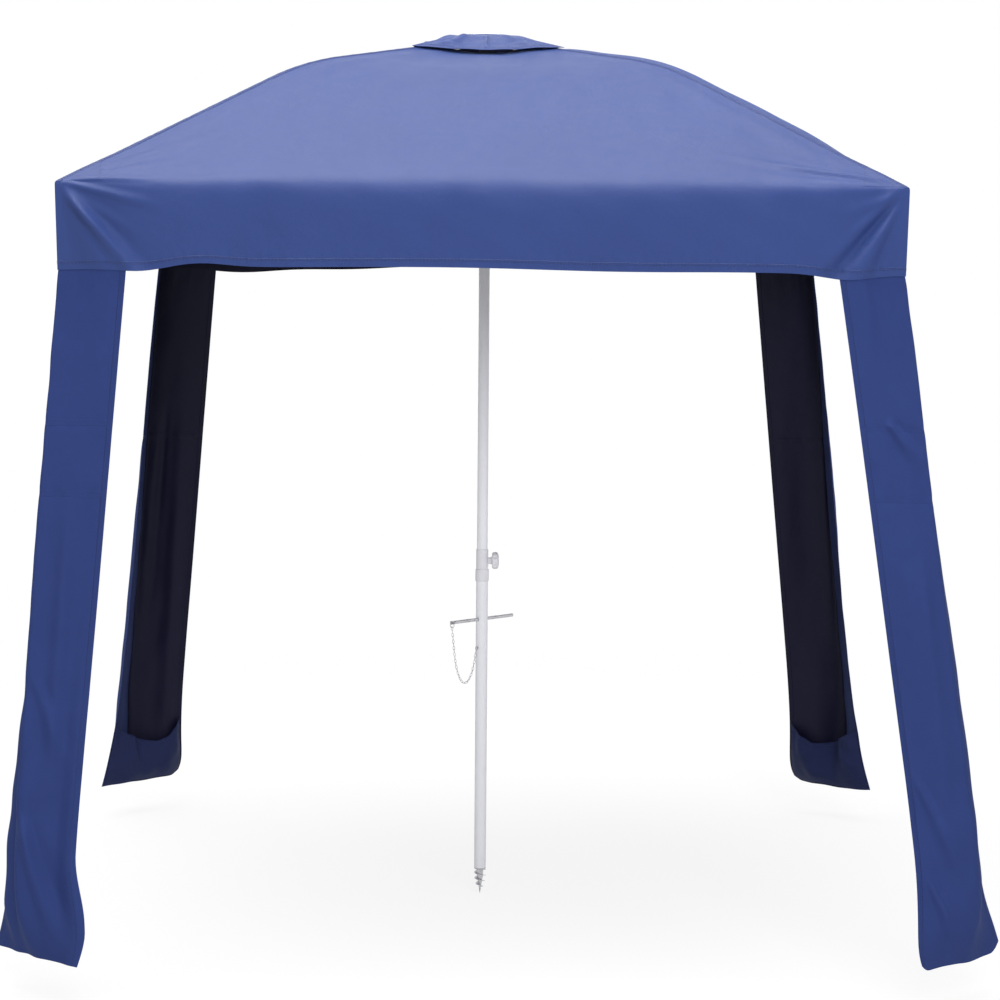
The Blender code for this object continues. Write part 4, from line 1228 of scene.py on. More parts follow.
@dataclass
class Canopy:
    """Roof and valance as one continuous curved sheet, cut where the umbrella's parts move apart."""

    thickness: float = 0.0011
    half_columns: int = 116
    roof_rows: int = 96
    valance_rows: int = 44
    corner_crowding: float = 1.35
    edge_crowding: float = 1.25
    hem: float = 0.018
    vent_hem: float = 0.014
    felled: float = 0.009
    felled_end: float = 0.0107
    felled_rise: float = 0.0008
    felled_seams: tuple = (0.0024, 0.0072)
    hem_seams: tuple = (3.0, 2.6)
    patch: float = 0.090
    roof_keep: float = 0.10
    valance_keep: float = 0.070
    fold_inset: float = 0.1
    rib_seam_points: int = 160
    hem_seam_points: int = 200
    broad_wave: float = 0.0034
    fine_wave: float = 0.0008
    valance_wave: float = 0.0048
    hem_pucker: float = 0.0007
    seam_pucker: float = 0.0009
    roof_flat: tuple = (0.935, 0.87)
    roof_area: float = 0.44
    valance_flat: tuple = (0.935, 0.21)
    puffs: tuple = ((0.002, 0.002), (0.017, 0.002), (0.002, 0.002), (0.002, 0.006))
    fans: tuple = (
        PullFan(
            (18, 31, 44, 58, 70), 5, 1, (0.006, 0.008), 0.0,
            lengths=(0.16, 0.24), widths=(0.012, 0.018), heights=(0.0014, 0.0034),
        ),
        PullFan(
            (10, 20, 30), 4, -1, (0.03, -0.010), 0.03,
            lengths=(0.24, 0.46), widths=(0.010, 0.018), heights=(0.0010, 0.0026),
        ),
    )
    front_pulls: tuple = (
        Crease((-0.93, 0.000), (-0.74, 0.34), 0.055, 0.0110),
        Crease((-0.93, 0.004), (-0.68, 0.30), 0.022, 0.0120),
        Crease((-0.932, 0.010), (-0.80, 0.16), 0.015, 0.0075),
        Crease((-0.92, 0.000), (-0.70, 0.06), 0.013, 0.0050),
        Crease((0.93, 0.000), (0.76, 0.34), 0.045, 0.0090),
        Crease((0.93, 0.004), (0.70, 0.28), 0.020, -0.0130),
        Crease((0.932, 0.010), (0.83, 0.28), 0.016, -0.0085),
        Crease((0.92, -0.012), (0.50, -0.12), 0.014, 0.0055),
        Crease((-0.92, -0.010), (-0.70, -0.012), 0.010, 0.0040),
    )

    def columns(self) -> np.ndarray:
        """Places across a side, from -1 to 1, closer together near the corners."""
        t = np.linspace(0, 1, self.half_columns + 1)
        crowded = 1 - (1 - t) ** self.corner_crowding
        seam = [1 - self.felled / FORM.half, 1 - self.felled_end / FORM.half]
        half = np.unique(np.concatenate([crowded, seam]))
        return np.concatenate([-half[:0:-1], half])

    def distances(self, share: np.ndarray) -> np.ndarray:
        """Distances past the edge of all rows, negative on the roof."""
        t = np.linspace(0, 1, self.roof_rows + 1)[:, None]
        length = FORM.edge_out(share) - FORM.vent_half
        roof = -length * (1 - t) ** self.edge_crowding
        hem = FORM.hem_distance(share)
        body = np.linspace(0, 1, self.valance_rows - 3)[1:, None] ** 1.1 * (hem - self.hem - 0.0015)
        lower = np.concatenate([hem - self.hem, hem - self.hem * 0.5, hem - 0.0012, hem])
        return np.concatenate([roof, body, lower])

    def creases(self, side: int) -> list:
        """Creases of a side: long pulls that run out from both corners into roof and valance."""
        rng = np.random.default_rng(Seed.PULLS + side)
        found = [crease for end in (-1, 1) for fan in self.fans for crease in fan.draw(rng, end)]
        return found + list(self.front_pulls) if side == 0 else found

    def side(self, number: int) -> ClothPanel:
        """Shape one side of the sheet from the vent opening to the valance's lower edge.

        Args:
            number: The side's place round the pole.

        Returns:
            The side as a panel.
        """
        across = self.columns()[None, :]
        share = np.abs(across)
        distance = self.distances(share)
        share = np.broadcast_to(share, distance.shape)
        out, height = FORM.skirt(share, distance)
        drop = np.clip(distance / FORM.hem_distance(share), 0, 1)
        out = out + FORM.valance_fold * np.sin(9 * share) * (1 - share**2) * share * drop
        lateral = out * across
        places = on_side(number, out, lateral, height + FORM.hem_wave(number, lateral) * drop**2)
        facing = grid_normals(places)
        flat = np.where(distance > 0, FORM.edge_out(share) * across, lateral)
        beside = out * (1 - share)
        lift = sum(crease.lift(flat, distance) for crease in self.creases(number))
        hem = FORM.hem_distance(share) - distance
        lift = lift + self.waves(number, lateral, distance, beside, drop)
        uneven = Ripples(Seed.HEM_PUCKER + number, 0.2).lift(lateral, lateral) * 3
        near_hem = np.exp(-(((hem - self.hem) / 0.012) ** 2))
        lift = lift + np.sin(lateral * 230 + uneven) * self.hem_pucker * near_hem
        seam = 1 - smooth_share(beside, self.felled - 0.0005, self.felled_end)
        uneven = Ripples(Seed.SEAM_PUCKER + number, 0.07).lift(distance, distance * 0) * 2
        pucker = np.abs(np.sin(uneven + distance * 190)) * self.seam_pucker
        pucker = pucker * np.exp(-beside / 0.022) * smooth_share(-distance, 0.02, 0.10)
        raised = seam * self.felled_rise * (distance < 0)
        lift = lift * smooth_share(beside, 0.004, 0.06) + pucker + raised
        lift = lift * smooth_share(out, FORM.vent_half, FORM.vent_half + 0.08)
        places = places + facing * lift[..., None]
        vent_hem = out < FORM.vent_half + self.vent_hem
        seam_edge = (beside < self.felled + 0.0002) & (distance < 0.0)
        patch = (beside < self.patch * (1 + distance / self.patch)) & (distance < -0.004)
        doubled = ((hem < self.hem + 0.0005) | seam_edge | vent_hem | patch).astype(float)
        return ClothPanel.of(f"side_{number}", places, (lateral, distance), doubled, self.thickness)

    def waves(
        self, number: int, lateral: np.ndarray, distance: np.ndarray, beside: np.ndarray, drop: np.ndarray
    ) -> np.ndarray:
        """Soft waves of a side: the roof's, the valance's, and the puff beside each rib.

        Args:
            number: The side's number.
            lateral: Places along the side.
            distance: Distances past the edge.
            beside: Distances from the nearest rib.
            drop: Share of the way down the valance.

        Returns:
            The lift at each point.
        """
        free = smooth_share(beside, 0.0, 0.28)
        broad = Ripples(Seed.BROAD_WAVES + number, 0.42).lift(lateral, distance) * self.broad_wave
        fine = Ripples(Seed.FINE_WAVES + number, 0.11).lift(lateral, distance) * self.fine_wave
        hung = Ripples(Seed.VALANCE_WAVES + number, 0.26, 5).lift(lateral, distance * 0.15)
        hung = hung * self.valance_wave * drop * free
        puff = np.where(lateral < 0, *self.puffs[number]) * np.exp(-(((beside - 0.055) / 0.034) ** 2))
        puff = puff * smooth_share(-distance, 0.03, 0.22) * smooth_share(distance, -0.86, -0.70)
        return broad * free + fine + hung + puff

    def build(self) -> list:
        """Build the eight roof halves and the eight valance halves, with their stitches.

        Returns:
            The four sides' panels.
        """
        sides = [self.side(number) for number in range(4)]
        for panel, follower in zip(sides, sides[1:] + sides[:1]):
            shared = (panel.places[:, -1] + follower.places[:, 0]) / 2
            panel.places[:, -1] = follower.places[:, 0] = shared
        mitre_corners(sides)
        for part in SideHalf.ring(sides):
            self.roof_half(part)
            self.valance_half(part)
        return sides

    def roof_half(self, part: SideHalf) -> None:
        """Build the half of a roof gore that a rib carries."""
        cut = part.cut("roof", slice(0, self.roof_rows + 1))
        piece = cut.show(part.rib, NAVY, NAVY_INSIDE)
        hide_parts(f"canopy_{part.corner.title}")
        part.rib
        normal, along = side_directions(part.side)
        toward = along if part.half else -along
        fall = np.array([0, 0, FORM.tip_z - FORM.crown_pin_z])
        line = unit(rib_out(part.corner) * (FORM.tip_reach - self.fold_inset) + fall)
        axis = unit(toward - line * float(toward @ line))
        fold = FoldRule(tuple(axis), tuple(rib_tip(part.corner)), self.roof_keep)
        fold.apply(piece)
        panel = part.panel
        rows = np.linspace(1, self.roof_rows - 0.4, self.rib_seam_points)
        out = np.interp(rows, np.arange(len(panel.places)), panel.places[:, -part.half] @ normal)
        share = np.abs(self.columns())
        middle = len(share) // 2
        runs = []
        for beside in self.felled_seams:
            count = np.interp(beside / out, 1 - share[:middle], np.arange(middle))
            columns = len(share) - 1 - count if part.half else count
            runs.append(panel.line(rows, columns))
        runs.append(self.patch_line(part))
        Stitching.sew(f"stitches_roof_{part.title}", runs, part.rib, fold)

    def patch_line(self, part: SideHalf) -> list:
        """Points along the slanting edge of the patch that doubles the roof at a corner."""
        travel = np.linspace(0.06, 0.94, 60)
        reach = -self.distances(np.full((1, 1), 0.95))[:, 0]
        rows = np.interp(-self.patch * (1 - travel), -reach, np.arange(len(reach)))
        share = 1 - self.patch * travel / FORM.half
        count = len(self.columns())
        columns = np.interp(share if part.half else -share, self.columns(), np.arange(count))
        return part.panel.line(rows, columns)

    def valance_half(self, part: SideHalf) -> None:
        """Build the half of a valance that hangs from a corner."""
        body = f"leg_{part.corner.title}"
        cut = part.cut("valance", slice(self.roof_rows, None))
        piece = cut.show(body, NAVY, NAVY_INSIDE)
        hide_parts(f"valance_{part.corner.title}")
        part.rib
        fold = FoldRule(part.along, tuple(rib_tip(part.corner)), self.valance_keep)
        fold.apply(piece)
        numbers = np.linspace(0.3, cut.places.shape[1] - 1.3, self.hem_seam_points)
        last = cut.places.shape[0] - 1
        runs = [cut.line(last - row, numbers) for row in self.hem_seams]
        Stitching.sew(f"stitches_valance_{part.title}", runs, body, fold)


@dataclass
class RibTie:
    """A short strip of webbing that goes round a rib and is sewn up into the roof's seam."""

    corner: Corner
    reach: float
    width: float = 0.012
    half_span: float = 0.012
    clear: float = 0.0009
    thickness: float = 0.0008
    under_roof: float = 0.0016
    weave_step: float = 0.002

    def build(self) -> None:
        """Build the strip and let it ride on its rib."""
        out = rib_out(self.corner)
        aside = np.array([-out[1], out[0], 0.0])
        round_rib = FORM.rib_radius + self.clear
        turn = np.linspace(-math.pi / 2 - 0.35, math.pi / 2 + 0.35, 15)
        under = np.stack([np.sin(turn) * round_rib, -np.cos(turn) * round_rib], -1)
        reach = self.reach + np.linspace(-1, 1, 4) * self.width / 2
        middle = FORM.rib_height(reach)
        share = (self.reach - self.half_span) / (self.reach + self.half_span)
        roof = FORM.roof_height((reach + self.half_span) / ROOT2, np.full(len(reach), share))
        ends = roof - self.under_roof - middle
        places = np.zeros((len(under) + 4, len(reach), 3))
        for column, lift in enumerate(ends):
            left = np.linspace((-self.half_span, lift), under[0], 3)[:-1]
            right = np.linspace(under[-1], (self.half_span, lift), 3)[1:]
            line = np.concatenate([left, under, right])
            places[:, column] = out * reach[column] + line[:, :1] * aside
            places[:, column, 2] = middle[column] + line[:, 1]
        across, outward = np.meshgrid(np.arange(len(places)) * self.weave_step, reach, indexing="ij")
        title = f"tie_{self.corner.title}_{round(self.reach * 100)}"
        weave = (across, outward)
        panel = ClothPanel.of(title, places[:, ::-1], weave, across * 0, self.thickness)
        body = f"rib_{self.corner.title}"
        piece = panel.show(body, NAVY, NAVY)


@dataclass
class VentCap:
    """The small crumpled top over the vent opening."""

    half: float = 0.177
    bow: float = 0.016
    top_z: float = 2.0945
    mid_z: float = 2.0485
    level: float = 0.20
    lift: float = 0.004
    hole_half: float = 0.006
    thickness: float = 0.0010
    flaps: tuple = (0.002, 0.015, 0.0, 0.0)
    keep: float = 0.3
    fold_reach: float = 0.18
    fold_z: float = 2.05
    flat: tuple = (0.177, 0.175)
    area: float = 0.0170
    hem_row: float = 33.6
    hem_seam_points: int = 90
    wave: float = 0.0042
    bulge: float = 0.0085

    def creases(self, number: int) -> list:
        """Sharp creases of one side of the cap, drawn between the finial and the edge."""
        rng = np.random.default_rng(Seed.CAP_CREASES + number)
        found = [Crease((0.004, 0.045), (0.0, 0.175), 0.006, 0.0065)]
        for end in (-1, 1):
            found.append(Crease((end * 0.17, 0.170), (end * 0.050, 0.075), 0.015, -0.0085))
            found.append(Crease((end * 0.168, 0.155), (end * 0.02, 0.135), 0.009, 0.0048))
            found.append(Crease((end * 0.176, 0.172), (end * 0.085, 0.070), 0.011, 0.0075))
            lean = rng.uniform(0.02, 0.05)
            found.append(Crease((end * 0.035, 0.045), (end * (0.07 + lean), 0.150), 0.012, 0.0034))
        return found

    def side(self, number: int) -> ClothPanel:
        """Shape one side of the cap from the finial to its edge.

        Args:
            number: The side's place round the pole.

        Returns:
            The side as a panel.
        """
        across = np.linspace(-1, 1, 61)[None, :]
        steps = np.concatenate([np.linspace(0, 0.93, 34), [0.935, 0.97, 0.996, 1.0]])[:, None]
        share = np.abs(across) * np.ones_like(steps)
        edge = self.half - self.bow * (1 - share**2)
        out = self.hole_half + (edge - self.hole_half) * steps
        corner_z = float(FORM.roof_height(np.array([self.half]), np.ones(1))[0]) + FORM.cloth + self.lift
        edge_z = self.mid_z + (corner_z - self.mid_z) * share**2
        fall = np.clip(steps - self.level, 0, 1) / (1 - self.level)
        height = self.top_z - (self.top_z - edge_z) * fall**1.2
        flap = np.where(across < 0, self.flaps[number], self.flaps[(number + 1) % 4])
        longer = flap * share**12 * steps**4
        out, height = out + longer, height - longer * FORM.slopes()[0] * ROOT2
        lateral = out * across
        places = on_side(number, out, lateral, height)
        facing = grid_normals(places)
        free = smooth_share(fall, 0.04, 0.35) * (1 - share**6)
        waves = Ripples(Seed.CAP_WAVES + number, 0.075).lift(lateral, out) * self.wave
        bulge = self.bulge * np.sin(math.pi * np.clip(fall, 0, 1)) * smooth_share(share, 0.35, 0.75)
        pulls = sum(crease.lift(lateral, out) for crease in self.creases(number))
        edge_free = 1 - 0.6 * smooth_share(steps, 0.8, 1.0)
        places = places + facing * ((waves + bulge + pulls) * free * edge_free)[..., None]
        doubled = (steps > 0.932).astype(float) * np.ones_like(share)
        return ClothPanel.of("cap", places, (lateral, out), doubled, self.thickness)

    def build(self) -> None:
        """Build the eight halves of the cap, two on each rib."""
        sides = [self.side(number) for number in range(4)]
        mitre_corners(sides)
        for part in SideHalf.ring(sides):
            cut = part.cut("cap", slice(None))
            piece = cut.show(part.rib, NAVY, NAVY_INSIDE)
            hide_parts(f"vent_cap_{part.corner.title}")
            place = rib_out(part.corner) * self.fold_reach + np.array([0, 0, self.fold_z])
            fold = FoldRule(part.along, tuple(place), self.keep)
            fold.apply(piece)
            last = cut.places.shape[1] - 1
            numbers = np.linspace(0.3, last - 0.3, self.hem_seam_points)
            runs = [cut.line(self.hem_row, numbers)]
            Stitching.sew(f"stitches_cap_{part.title}", runs, part.rib, fold)


@dataclass
class CornerLeg:
    """A fabric leg that wraps the corner down to its foot, which flares and lies flat across it."""

    corner: Corner
    skew: float
    sway: float
    seams: tuple = (1.02,)
    creases: tuple = ()
    foot_rise: tuple = (0.0, 0.0)
    foot_round: tuple = (0.0, 0.0)
    edge_flare: float = 0.0
    thickness: float = 0.0011
    keep: float = 0.36
    edge_hem: float = 0.012
    pocket_height: float = 0.180
    mouth_dip: float = 0.045
    mouth_low: float = 0.0
    pocket_depth: float = 0.060
    pocket_width: float = 0.272
    pocket_foot: float = 0.003
    pocket_gap: float = 0.0016
    behind: float = 0.0014
    flat_length: float = 1.53
    pocket_flat: tuple = (0.30, 0.18)
    # Where across the strip the painted light on a back leg's inner face starts.
    light_from: float = 0.10
    dip_share: float = 0.6
    edge_seam_points: int = 300
    foot_seam_points: int = 120
    long_fold: float = 0.0092
    crumple: float = 0.0030
    fine_wave: float = 0.0007
    top_gather: float = 0.0016
    pocket_wave: float = 0.0030
    mouth_gather: float = 0.0026

    def place(self, a: np.ndarray, t: np.ndarray) -> np.ndarray:
        """Points of the leg in the rib's frame.

        Args:
            a: From -1 to 1 across the strip.
            t: From 0 at the top to 1 at the foot.

        Returns:
            Reach along the rib's direction, place aside of it, and height.
        """
        flat = t**11
        arm = FORM.leg_strip / 2 / np.hypot(1 - flat / 2, flat / 2)
        bend = 0.15 * t
        corner = FORM.hem_half + FORM.leg_splay * t + FORM.foot_flare * t**8
        past = a - self.skew
        one = (1 - flat) * (soft_step(past, bend) - bend**2 / 4) + flat * (1 + a) / 2
        two = (1 - flat) * (soft_step(-past, bend) - bend**2 / 4) + flat * (1 - a) / 2
        flare = self.edge_flare * np.clip(a, 0, 1) ** 3 * smooth_share(t, 0.84, 0.94)
        flare = flare * (1 - 0.5 * smooth_share(t, 0.95, 1))
        x, y = corner - arm * one - flare, corner - arm * two
        top_share = 1 - np.abs(past) * FORM.leg_strip / 2 / FORM.hem_half
        top_out, hem_z = FORM.skirt(top_share, FORM.hem_distance(top_share))
        drawn = (FORM.hem_half - top_out) * (1 - t) ** 4
        x, y = np.where(past >= 0, x, x - drawn), np.where(past >= 0, y - drawn, y)
        wave = np.sin(5.2 * a + 1.5 * t) * np.cos(1.6 * a) * FORM.leg_fold * t * (1.2 - t)
        reach, aside = (x + y) / ROOT2, (y - x) / ROOT2
        reach = reach + wave + self.sway * t * math.cos(self.corner.yaw)
        aside = aside - self.sway * t * math.sin(self.corner.yaw)
        side = CORNER_RING.index(self.corner)
        hem = np.where(
            past >= 0,
            FORM.hem_wave(side, -top_share * top_out),
            FORM.hem_wave((side + 3) % 4, top_share * top_out),
        )
        top_z = hem_z - FORM.cloth_gap
        foot = np.where(a < 0, self.foot_rise[0], self.foot_rise[1]) * np.abs(a) ** 2.4
        corner_round = np.where(a < 0, self.foot_round[0], self.foot_round[1])
        foot = foot + corner_round * np.clip((np.abs(a) - 0.78) / 0.22, 0, 1) ** 2
        rise = hem * (1 - t) ** 6 + foot * smooth_share(t, 0.90, 1.0)
        return np.stack([reach, aside, top_z + (FORM.cloth / 2 - top_z) * t + rise], -1)

    def world(self, local: np.ndarray) -> np.ndarray:
        """Points of the rib's frame in the row frame."""
        cos, sin = math.cos(self.corner.yaw), math.sin(self.corner.yaw)
        reach, aside = local[..., 0], local[..., 1]
        return np.stack([reach * cos - aside * sin, reach * sin + aside * cos, local[..., 2]], -1)

    def across(self) -> np.ndarray:
        """Places of the strip's columns, from -1 to 1."""
        hem = self.edge_hem / (FORM.leg_strip / 2)
        inside = np.linspace(-1 + hem + 0.01, 1 - hem - 0.01, 63)
        return np.concatenate([[-1, -1 + hem * 0.5, -1 + hem], inside, [1 - hem, 1 - hem * 0.5, 1]])

    def down(self) -> np.ndarray:
        """Places of the strip's rows, from 0 at the valance's lower edge to 1 at the foot."""
        seams = [self.seam_rows(z) for z in self.seams]
        return np.unique(np.concatenate([np.linspace(0, 1, 151), *seams]))

    def hung_on(self, sides: list, across: np.ndarray, above: float) -> np.ndarray:
        """Where the strip lies behind the valance.

        Args:
            sides: The canopy's four sides.
            across: Places of the strip's columns.
            above: Number of the valance's row, counted up from its lower edge.

        Returns:
            A point for each column, just inside the valance.
        """
        number = CORNER_RING.index(self.corner)
        past = across - self.skew
        lateral = FORM.hem_half - np.abs(past) * FORM.leg_strip / 2
        points = []
        for side, sign, here in ((number, -1.0, past >= 0), ((number + 3) % 4, 1.0, past < 0)):
            panel = sides[side]
            places = panel.places[-1] @ side_directions(side)[1]
            columns = np.interp(sign * lateral, places, np.arange(len(places)))
            rows = np.full(len(across), len(panel.places) - 1 - above)
            inward = sampled(panel.normals, rows, columns) * self.behind
            spot = sampled(panel.places, rows, columns) - inward
            points.append(spot * here[:, None])
        return points[0] + points[1]

    def strip(self, sides: list) -> ClothPanel:
        """The leg's long strip, with its folds, hems and cross seams.

        Args:
            sides: The canopy's four sides, whose valance it is sewn to.

        Returns:
            The strip's panel; its first rows lie behind the valance's hem.
        """
        hem = self.edge_hem / (FORM.leg_strip / 2)
        a, t = np.meshgrid(self.across(), self.down())
        local = self.place(a, t)
        places = self.world(local)
        sewn = self.hung_on(sides, self.across(), 0.0)
        places = places + (sewn - places[0]) * ((1 - t) ** 8)[..., None]
        facing = grid_normals(places)
        seed = Seed.LEG + 10 * CORNER_RING.index(self.corner)
        height = local[..., 2]
        along = a * FORM.leg_strip / 2
        long_fold = Ripples(seed, 0.085, 5).lift(along, height * 0.06) * self.long_fold
        long_fold = long_fold * smooth_share(t, 0.10, 0.6) * (1 - smooth_share(t, 0.92, 1.0) * 0.6)
        crumple = Ripples(seed + 3, 0.16).lift(along, height) * self.crumple
        crumple = crumple * smooth_share(t, 0.45, 0.85)
        fine = Ripples(seed + 1, 0.06).lift(along, height * 0.6) * self.fine_wave
        gather = Ripples(seed + 2, 0.05).lift(along, along) * 1.5
        top = np.sin(a * 19 + gather) * self.top_gather * np.exp(-t / 0.022)
        cross = sum(np.exp(-(((height - z) / 0.010) ** 2)) for z in self.seams)
        cross = cross * (np.sin(a * 24 + seed) * 0.0005 - 0.0007)
        pulls = sum(crease.lift(along, height) for crease in self.creases)
        lift = long_fold + crumple + fine + cross + pulls + top * smooth_share(t, 0.0, 0.008)
        keep_off = smooth_share(1 - np.abs(a), 0.0, 0.10) * 0.5 + 0.5
        places = places + facing * (lift * keep_off * smooth_share(t, 0.0, 0.02))[..., None]
        doubled = (np.abs(a) > 1 - hem - 0.001).astype(float)
        for z in self.seams:
            doubled = np.maximum(doubled, 0.6 * (np.abs(height - z) < 0.0065))
        upper = np.stack([self.hung_on(sides, self.across(), row) for row in (2.7, 2.0, 1.0)])
        places = np.concatenate([upper, places])
        doubled = np.concatenate([doubled[:3] * 0 + 1, doubled])
        weave = (along[0], places[..., 2])
        name = f"leg_cloth_{self.corner.title}"
        return ClothPanel.of(name, places, weave, doubled, self.thickness)

    def light_side(self, leg: bpy.types.Object, strip: ClothPanel) -> None:
        """Give the inner face of the half along the side a lighter finish of its own: painted light where
        that half catches more light.

        Args:
            leg: The strip's piece.
            strip: Its panel.
        """
        leg.data.materials.append(NAVY_PAINTED_LIGHT_SIDE.material())
        past = (self.across()[1:] + self.across()[:-1]) / 2 - self.skew
        # Faces of the side half, which get the painted light.
        lighter = past > self.light_from if self.corner is Corner.BACK_LEFT else past < -self.light_from
        rows, faces = strip.places.shape[0] - 1, len(leg.data.polygons)
        finish_index = np.zeros(faces, dtype=np.int32)
        leg.data.polygons.foreach_get("material_index", finish_index)
        inner = np.where(np.tile(lighter, rows), 2, 1)
        finish_index[len(inner):2 * len(inner)] = inner
        leg.data.polygons.foreach_set("material_index", finish_index)

    def seam_rows(self, z: float) -> np.ndarray:
        """Shares down the leg of the rows that a cross seam needs."""
        middle = 1 - z / FORM.hem_z
        step = 0.006 / FORM.hem_z
        return middle + np.array([-1.3, -1.0, -0.5, 0.0, 0.5, 1.0, 1.3]) * step

    def pocket(self, leg: ClothPanel) -> ClothPanel:
        """The sand pocket on the leg's inner face, with its mouth open towards the pole.

        Args:
            leg: The strip that it is sewn to.

        Returns:
            The pocket's panel, its outer face towards the pole.
        """
        a = np.linspace(1, -1, 49)[None, :]
        b = np.concatenate([np.linspace(1, 0.955, 4), np.linspace(0.94, 0, 34)])[:, None]
        a, b = np.broadcast_arrays(a, b)
        low = self.mouth_low
        from_low = np.abs(a - low) / np.where(a > low, 1 - low, 1 + low)
        mouth = self.pocket_height - self.mouth_dip * (1 - from_low**1.7)
        z = self.pocket_foot + (mouth - self.pocket_foot) * b
        down, across = self.down(), self.across()
        rows = np.interp(1 - z / FORM.hem_z, down, 3 + np.arange(len(down)))
        columns = np.interp(a * self.pocket_width / FORM.leg_strip, across, np.arange(len(across)))
        spot = sampled(leg.places, rows, columns)
        fill = (1 - (1 - b) ** 3) * (1 - 0.25 * b**2)
        full = (1 - a**2) ** 0.8
        seed = Seed.POCKET + CORNER_RING.index(self.corner)
        waves = Ripples(seed, 0.07).lift(a * 0.14, z) * self.pocket_wave * smooth_share(b, 0.0, 0.2)
        gather = np.sin(a * 21 + seed) * self.mouth_gather * smooth_share(b, 0.45, 1.0)
        loose = (waves + gather) * smooth_share(1 - a**2, 0.0, 0.3)
        inward = self.pocket_gap + self.pocket_depth * full * fill + loose
        places = spot - inward[..., None] * rib_out(self.corner)
        weave = (a * self.pocket_width / 2, z)
        name = f"pocket_cloth_{self.corner.title}"
        return ClothPanel.of(name, places, weave, (b > 0.93).astype(float), self.thickness)

    def build(self, sides: list) -> None:
        """Build the strip and its sand pocket with their stitches, and let them hang from the corner.

        Args:
            sides: The canopy's four sides.
        """
        title = self.corner.title
        body = f"leg_{title}"
        fold = FoldRule((0.0, 0.0, 1.0), (0.0, 0.0, FORM.hem_z), self.keep)
        strip = self.strip(sides)
        leg = strip.show(body, NAVY_LEG_PAINTED_SHADE, NAVY_INSIDE)
        # The back legs' side halves get painted light on their inner face.
        if self.corner in (Corner.BACK_LEFT, Corner.BACK_RIGHT):
            self.light_side(leg, strip)
        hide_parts(f"leg_{title}")
        fold.apply(leg)
        bag = self.pocket(strip)
        pocket = bag.show(body, NAVY_POCKET_PAINTED_SHADE, NAVY_INSIDE)
        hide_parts(f"sand_pocket_{title}")
        fold.apply(pocket)
        rows = np.linspace(3.4, strip.places.shape[0] - 1.4, self.edge_seam_points)
        last = strip.places.shape[1] - 1
        runs = [strip.line(rows, column) for column in (2.0, last - 2.0)]
        Stitching.sew(f"stitches_leg_{title}", runs, body, fold)
        numbers = np.linspace(0.6, bag.places.shape[1] - 1.6, self.foot_seam_points)
        Stitching.sew(f"stitches_pocket_{title}", [bag.line(4.0, numbers)], body, fold)
        LOG.info("leg %s: strip, pocket and stitches", title)


@dataclass
class Hardware:
    """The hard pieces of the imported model, merged, shaded round and given their finishes."""

    sharp_degrees: float = 32.0
    skip: tuple = ("canopy_", "vent_cap_", "valance_", "leg_", "sand_pocket_")

    def build(self) -> None:
        """Give every hard node its finish, on a copy whose round faces are smooth."""
        count = 0
        for name, node in sorted(frame["nodes"].items()):
            if node.hide_render or name.startswith(self.skip):
                continue
            finish = FINISH_OF_SLOT[node.data.materials[0].name.split(".")[0]]
            node.material_slots[0].material = finish.material()
            piece = shown(f"{name}_made", self.rounded(node), finish, node["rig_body"])
            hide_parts(name)
            count += 1
        LOG.info("hardware: %d pieces", count)

    def rounded(self, node: bpy.types.Object) -> bpy.types.Mesh:
        """A merged copy of a node's mesh with smooth round faces and crisp edges."""
        work = bmesh.new()
        work.from_mesh(node.data)
        bmesh.ops.remove_doubles(work, verts=work.verts, dist=1e-6)
        limit = math.radians(self.sharp_degrees)
        for edge in work.edges:
            edge.smooth = len(edge.link_faces) == 2 and edge.calc_face_angle(0.0) < limit
        for face in work.faces:
            face.smooth = True
        mesh = bpy.data.meshes.new(node.name + "_made")
        work.to_mesh(mesh)
        work.free()
        return mesh


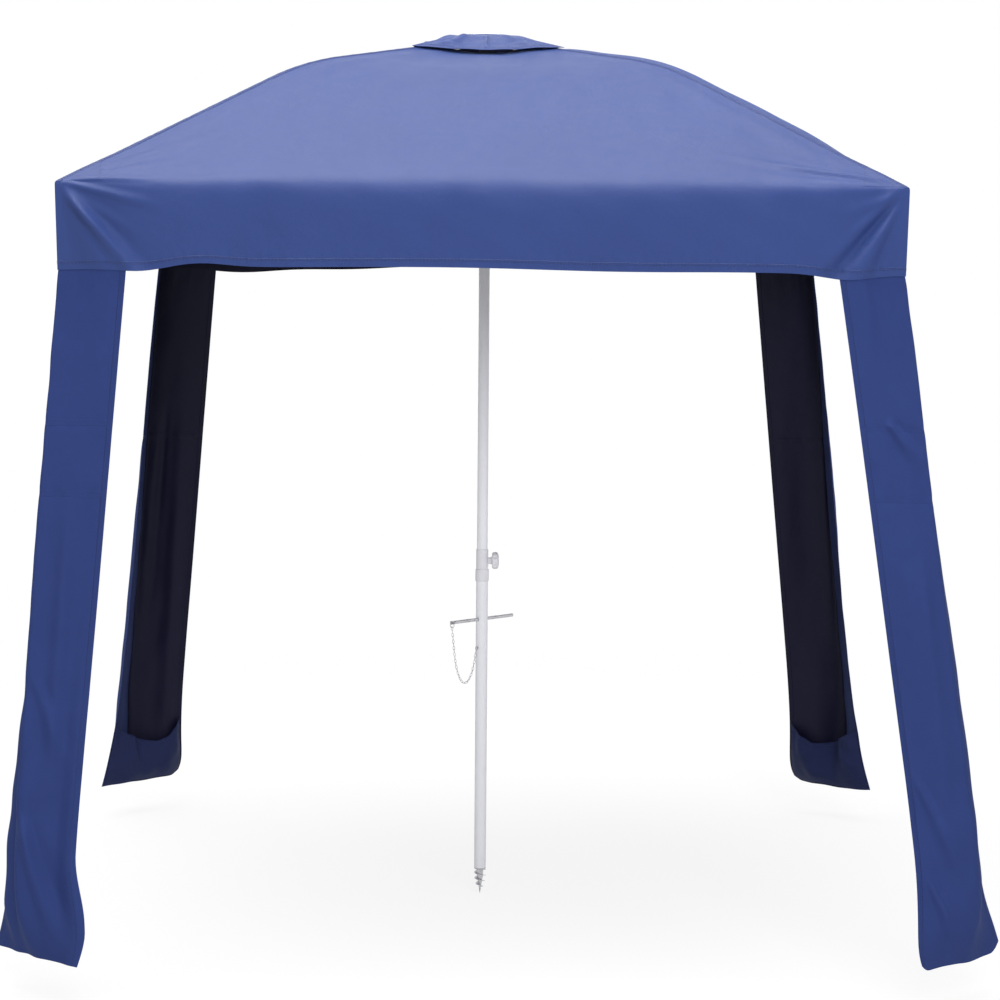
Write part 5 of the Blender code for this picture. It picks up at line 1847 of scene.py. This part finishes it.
def corner_legs() -> tuple:
    """The four legs, each with the lean, folds and foot that the photograph shows."""
    foot_left = (
        Crease((0.015, 0.32), (0.100, 0.00), 0.024, 0.0140),
        Crease((0.020, 0.62), (0.110, 0.40), 0.020, 0.0060),
        Crease((0.060, 0.95), (0.080, 0.10), 0.022, 0.0045),
    )
    kink_right = (
        Crease((-0.080, 1.19), (-0.010, 1.09), 0.018, 0.0090),
        Crease((-0.120, 0.42), (-0.020, 0.16), 0.020, 0.0065),
        Crease((-0.115, 0.20), (-0.030, 0.02), 0.016, 0.0085),
        Crease((-0.040, 0.90), (-0.060, 0.15), 0.022, 0.0040),
    )
    fall_back = (Crease((-0.030, 1.10), (-0.020, 0.15), 0.020, 0.0060),)
    front_seams = (1.02, 1.175)
    return (
        CornerLeg(Corner.FRONT_LEFT, -0.054, 0.058, front_seams, foot_left, edge_flare=0.022),
        CornerLeg(
            Corner.FRONT_RIGHT, 0.013, 0.033, front_seams, kink_right,
            foot_rise=(0.006, 0.004), foot_round=(0.012, 0.022),
        ),
        CornerLeg(
            Corner.BACK_RIGHT, -0.162, -0.010, creases=fall_back,
            foot_rise=(0.008, 0.0), foot_round=(0.0, 0.012), mouth_dip=0.056, mouth_low=0.25,
        ),
        CornerLeg(
            Corner.BACK_LEFT, 0.134, 0.029, creases=fall_back,
            foot_rise=(0.004, 0.0), foot_round=(0.012, 0.0), mouth_dip=0.064, mouth_low=-0.3,
        ),
    )


def main() -> None:
    """Build the stage and every sub-assembly in order."""
    logging.basicConfig(level=logging.INFO, format="%(name)s: %(message)s")
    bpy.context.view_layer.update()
    bpy.context.scene.view_settings.view_transform = "Standard"
    Studio().build()
    LOG.info("studio: camera, floor and lamps")
    Chain().build()
    sides = Canopy().build()
    LOG.info("canopy: %d sides", len(sides))
    for corner in CORNER_RING:
        for reach in TIE_REACHES:
            RibTie(corner, reach).build()
    LOG.info("rib ties: two on each rib")
    VentCap().build()
    LOG.info("vent cap: eight halves")
    for leg in corner_legs():
        leg.build(sides)
    Hardware().build()


if __name__ == "__main__":
    main()
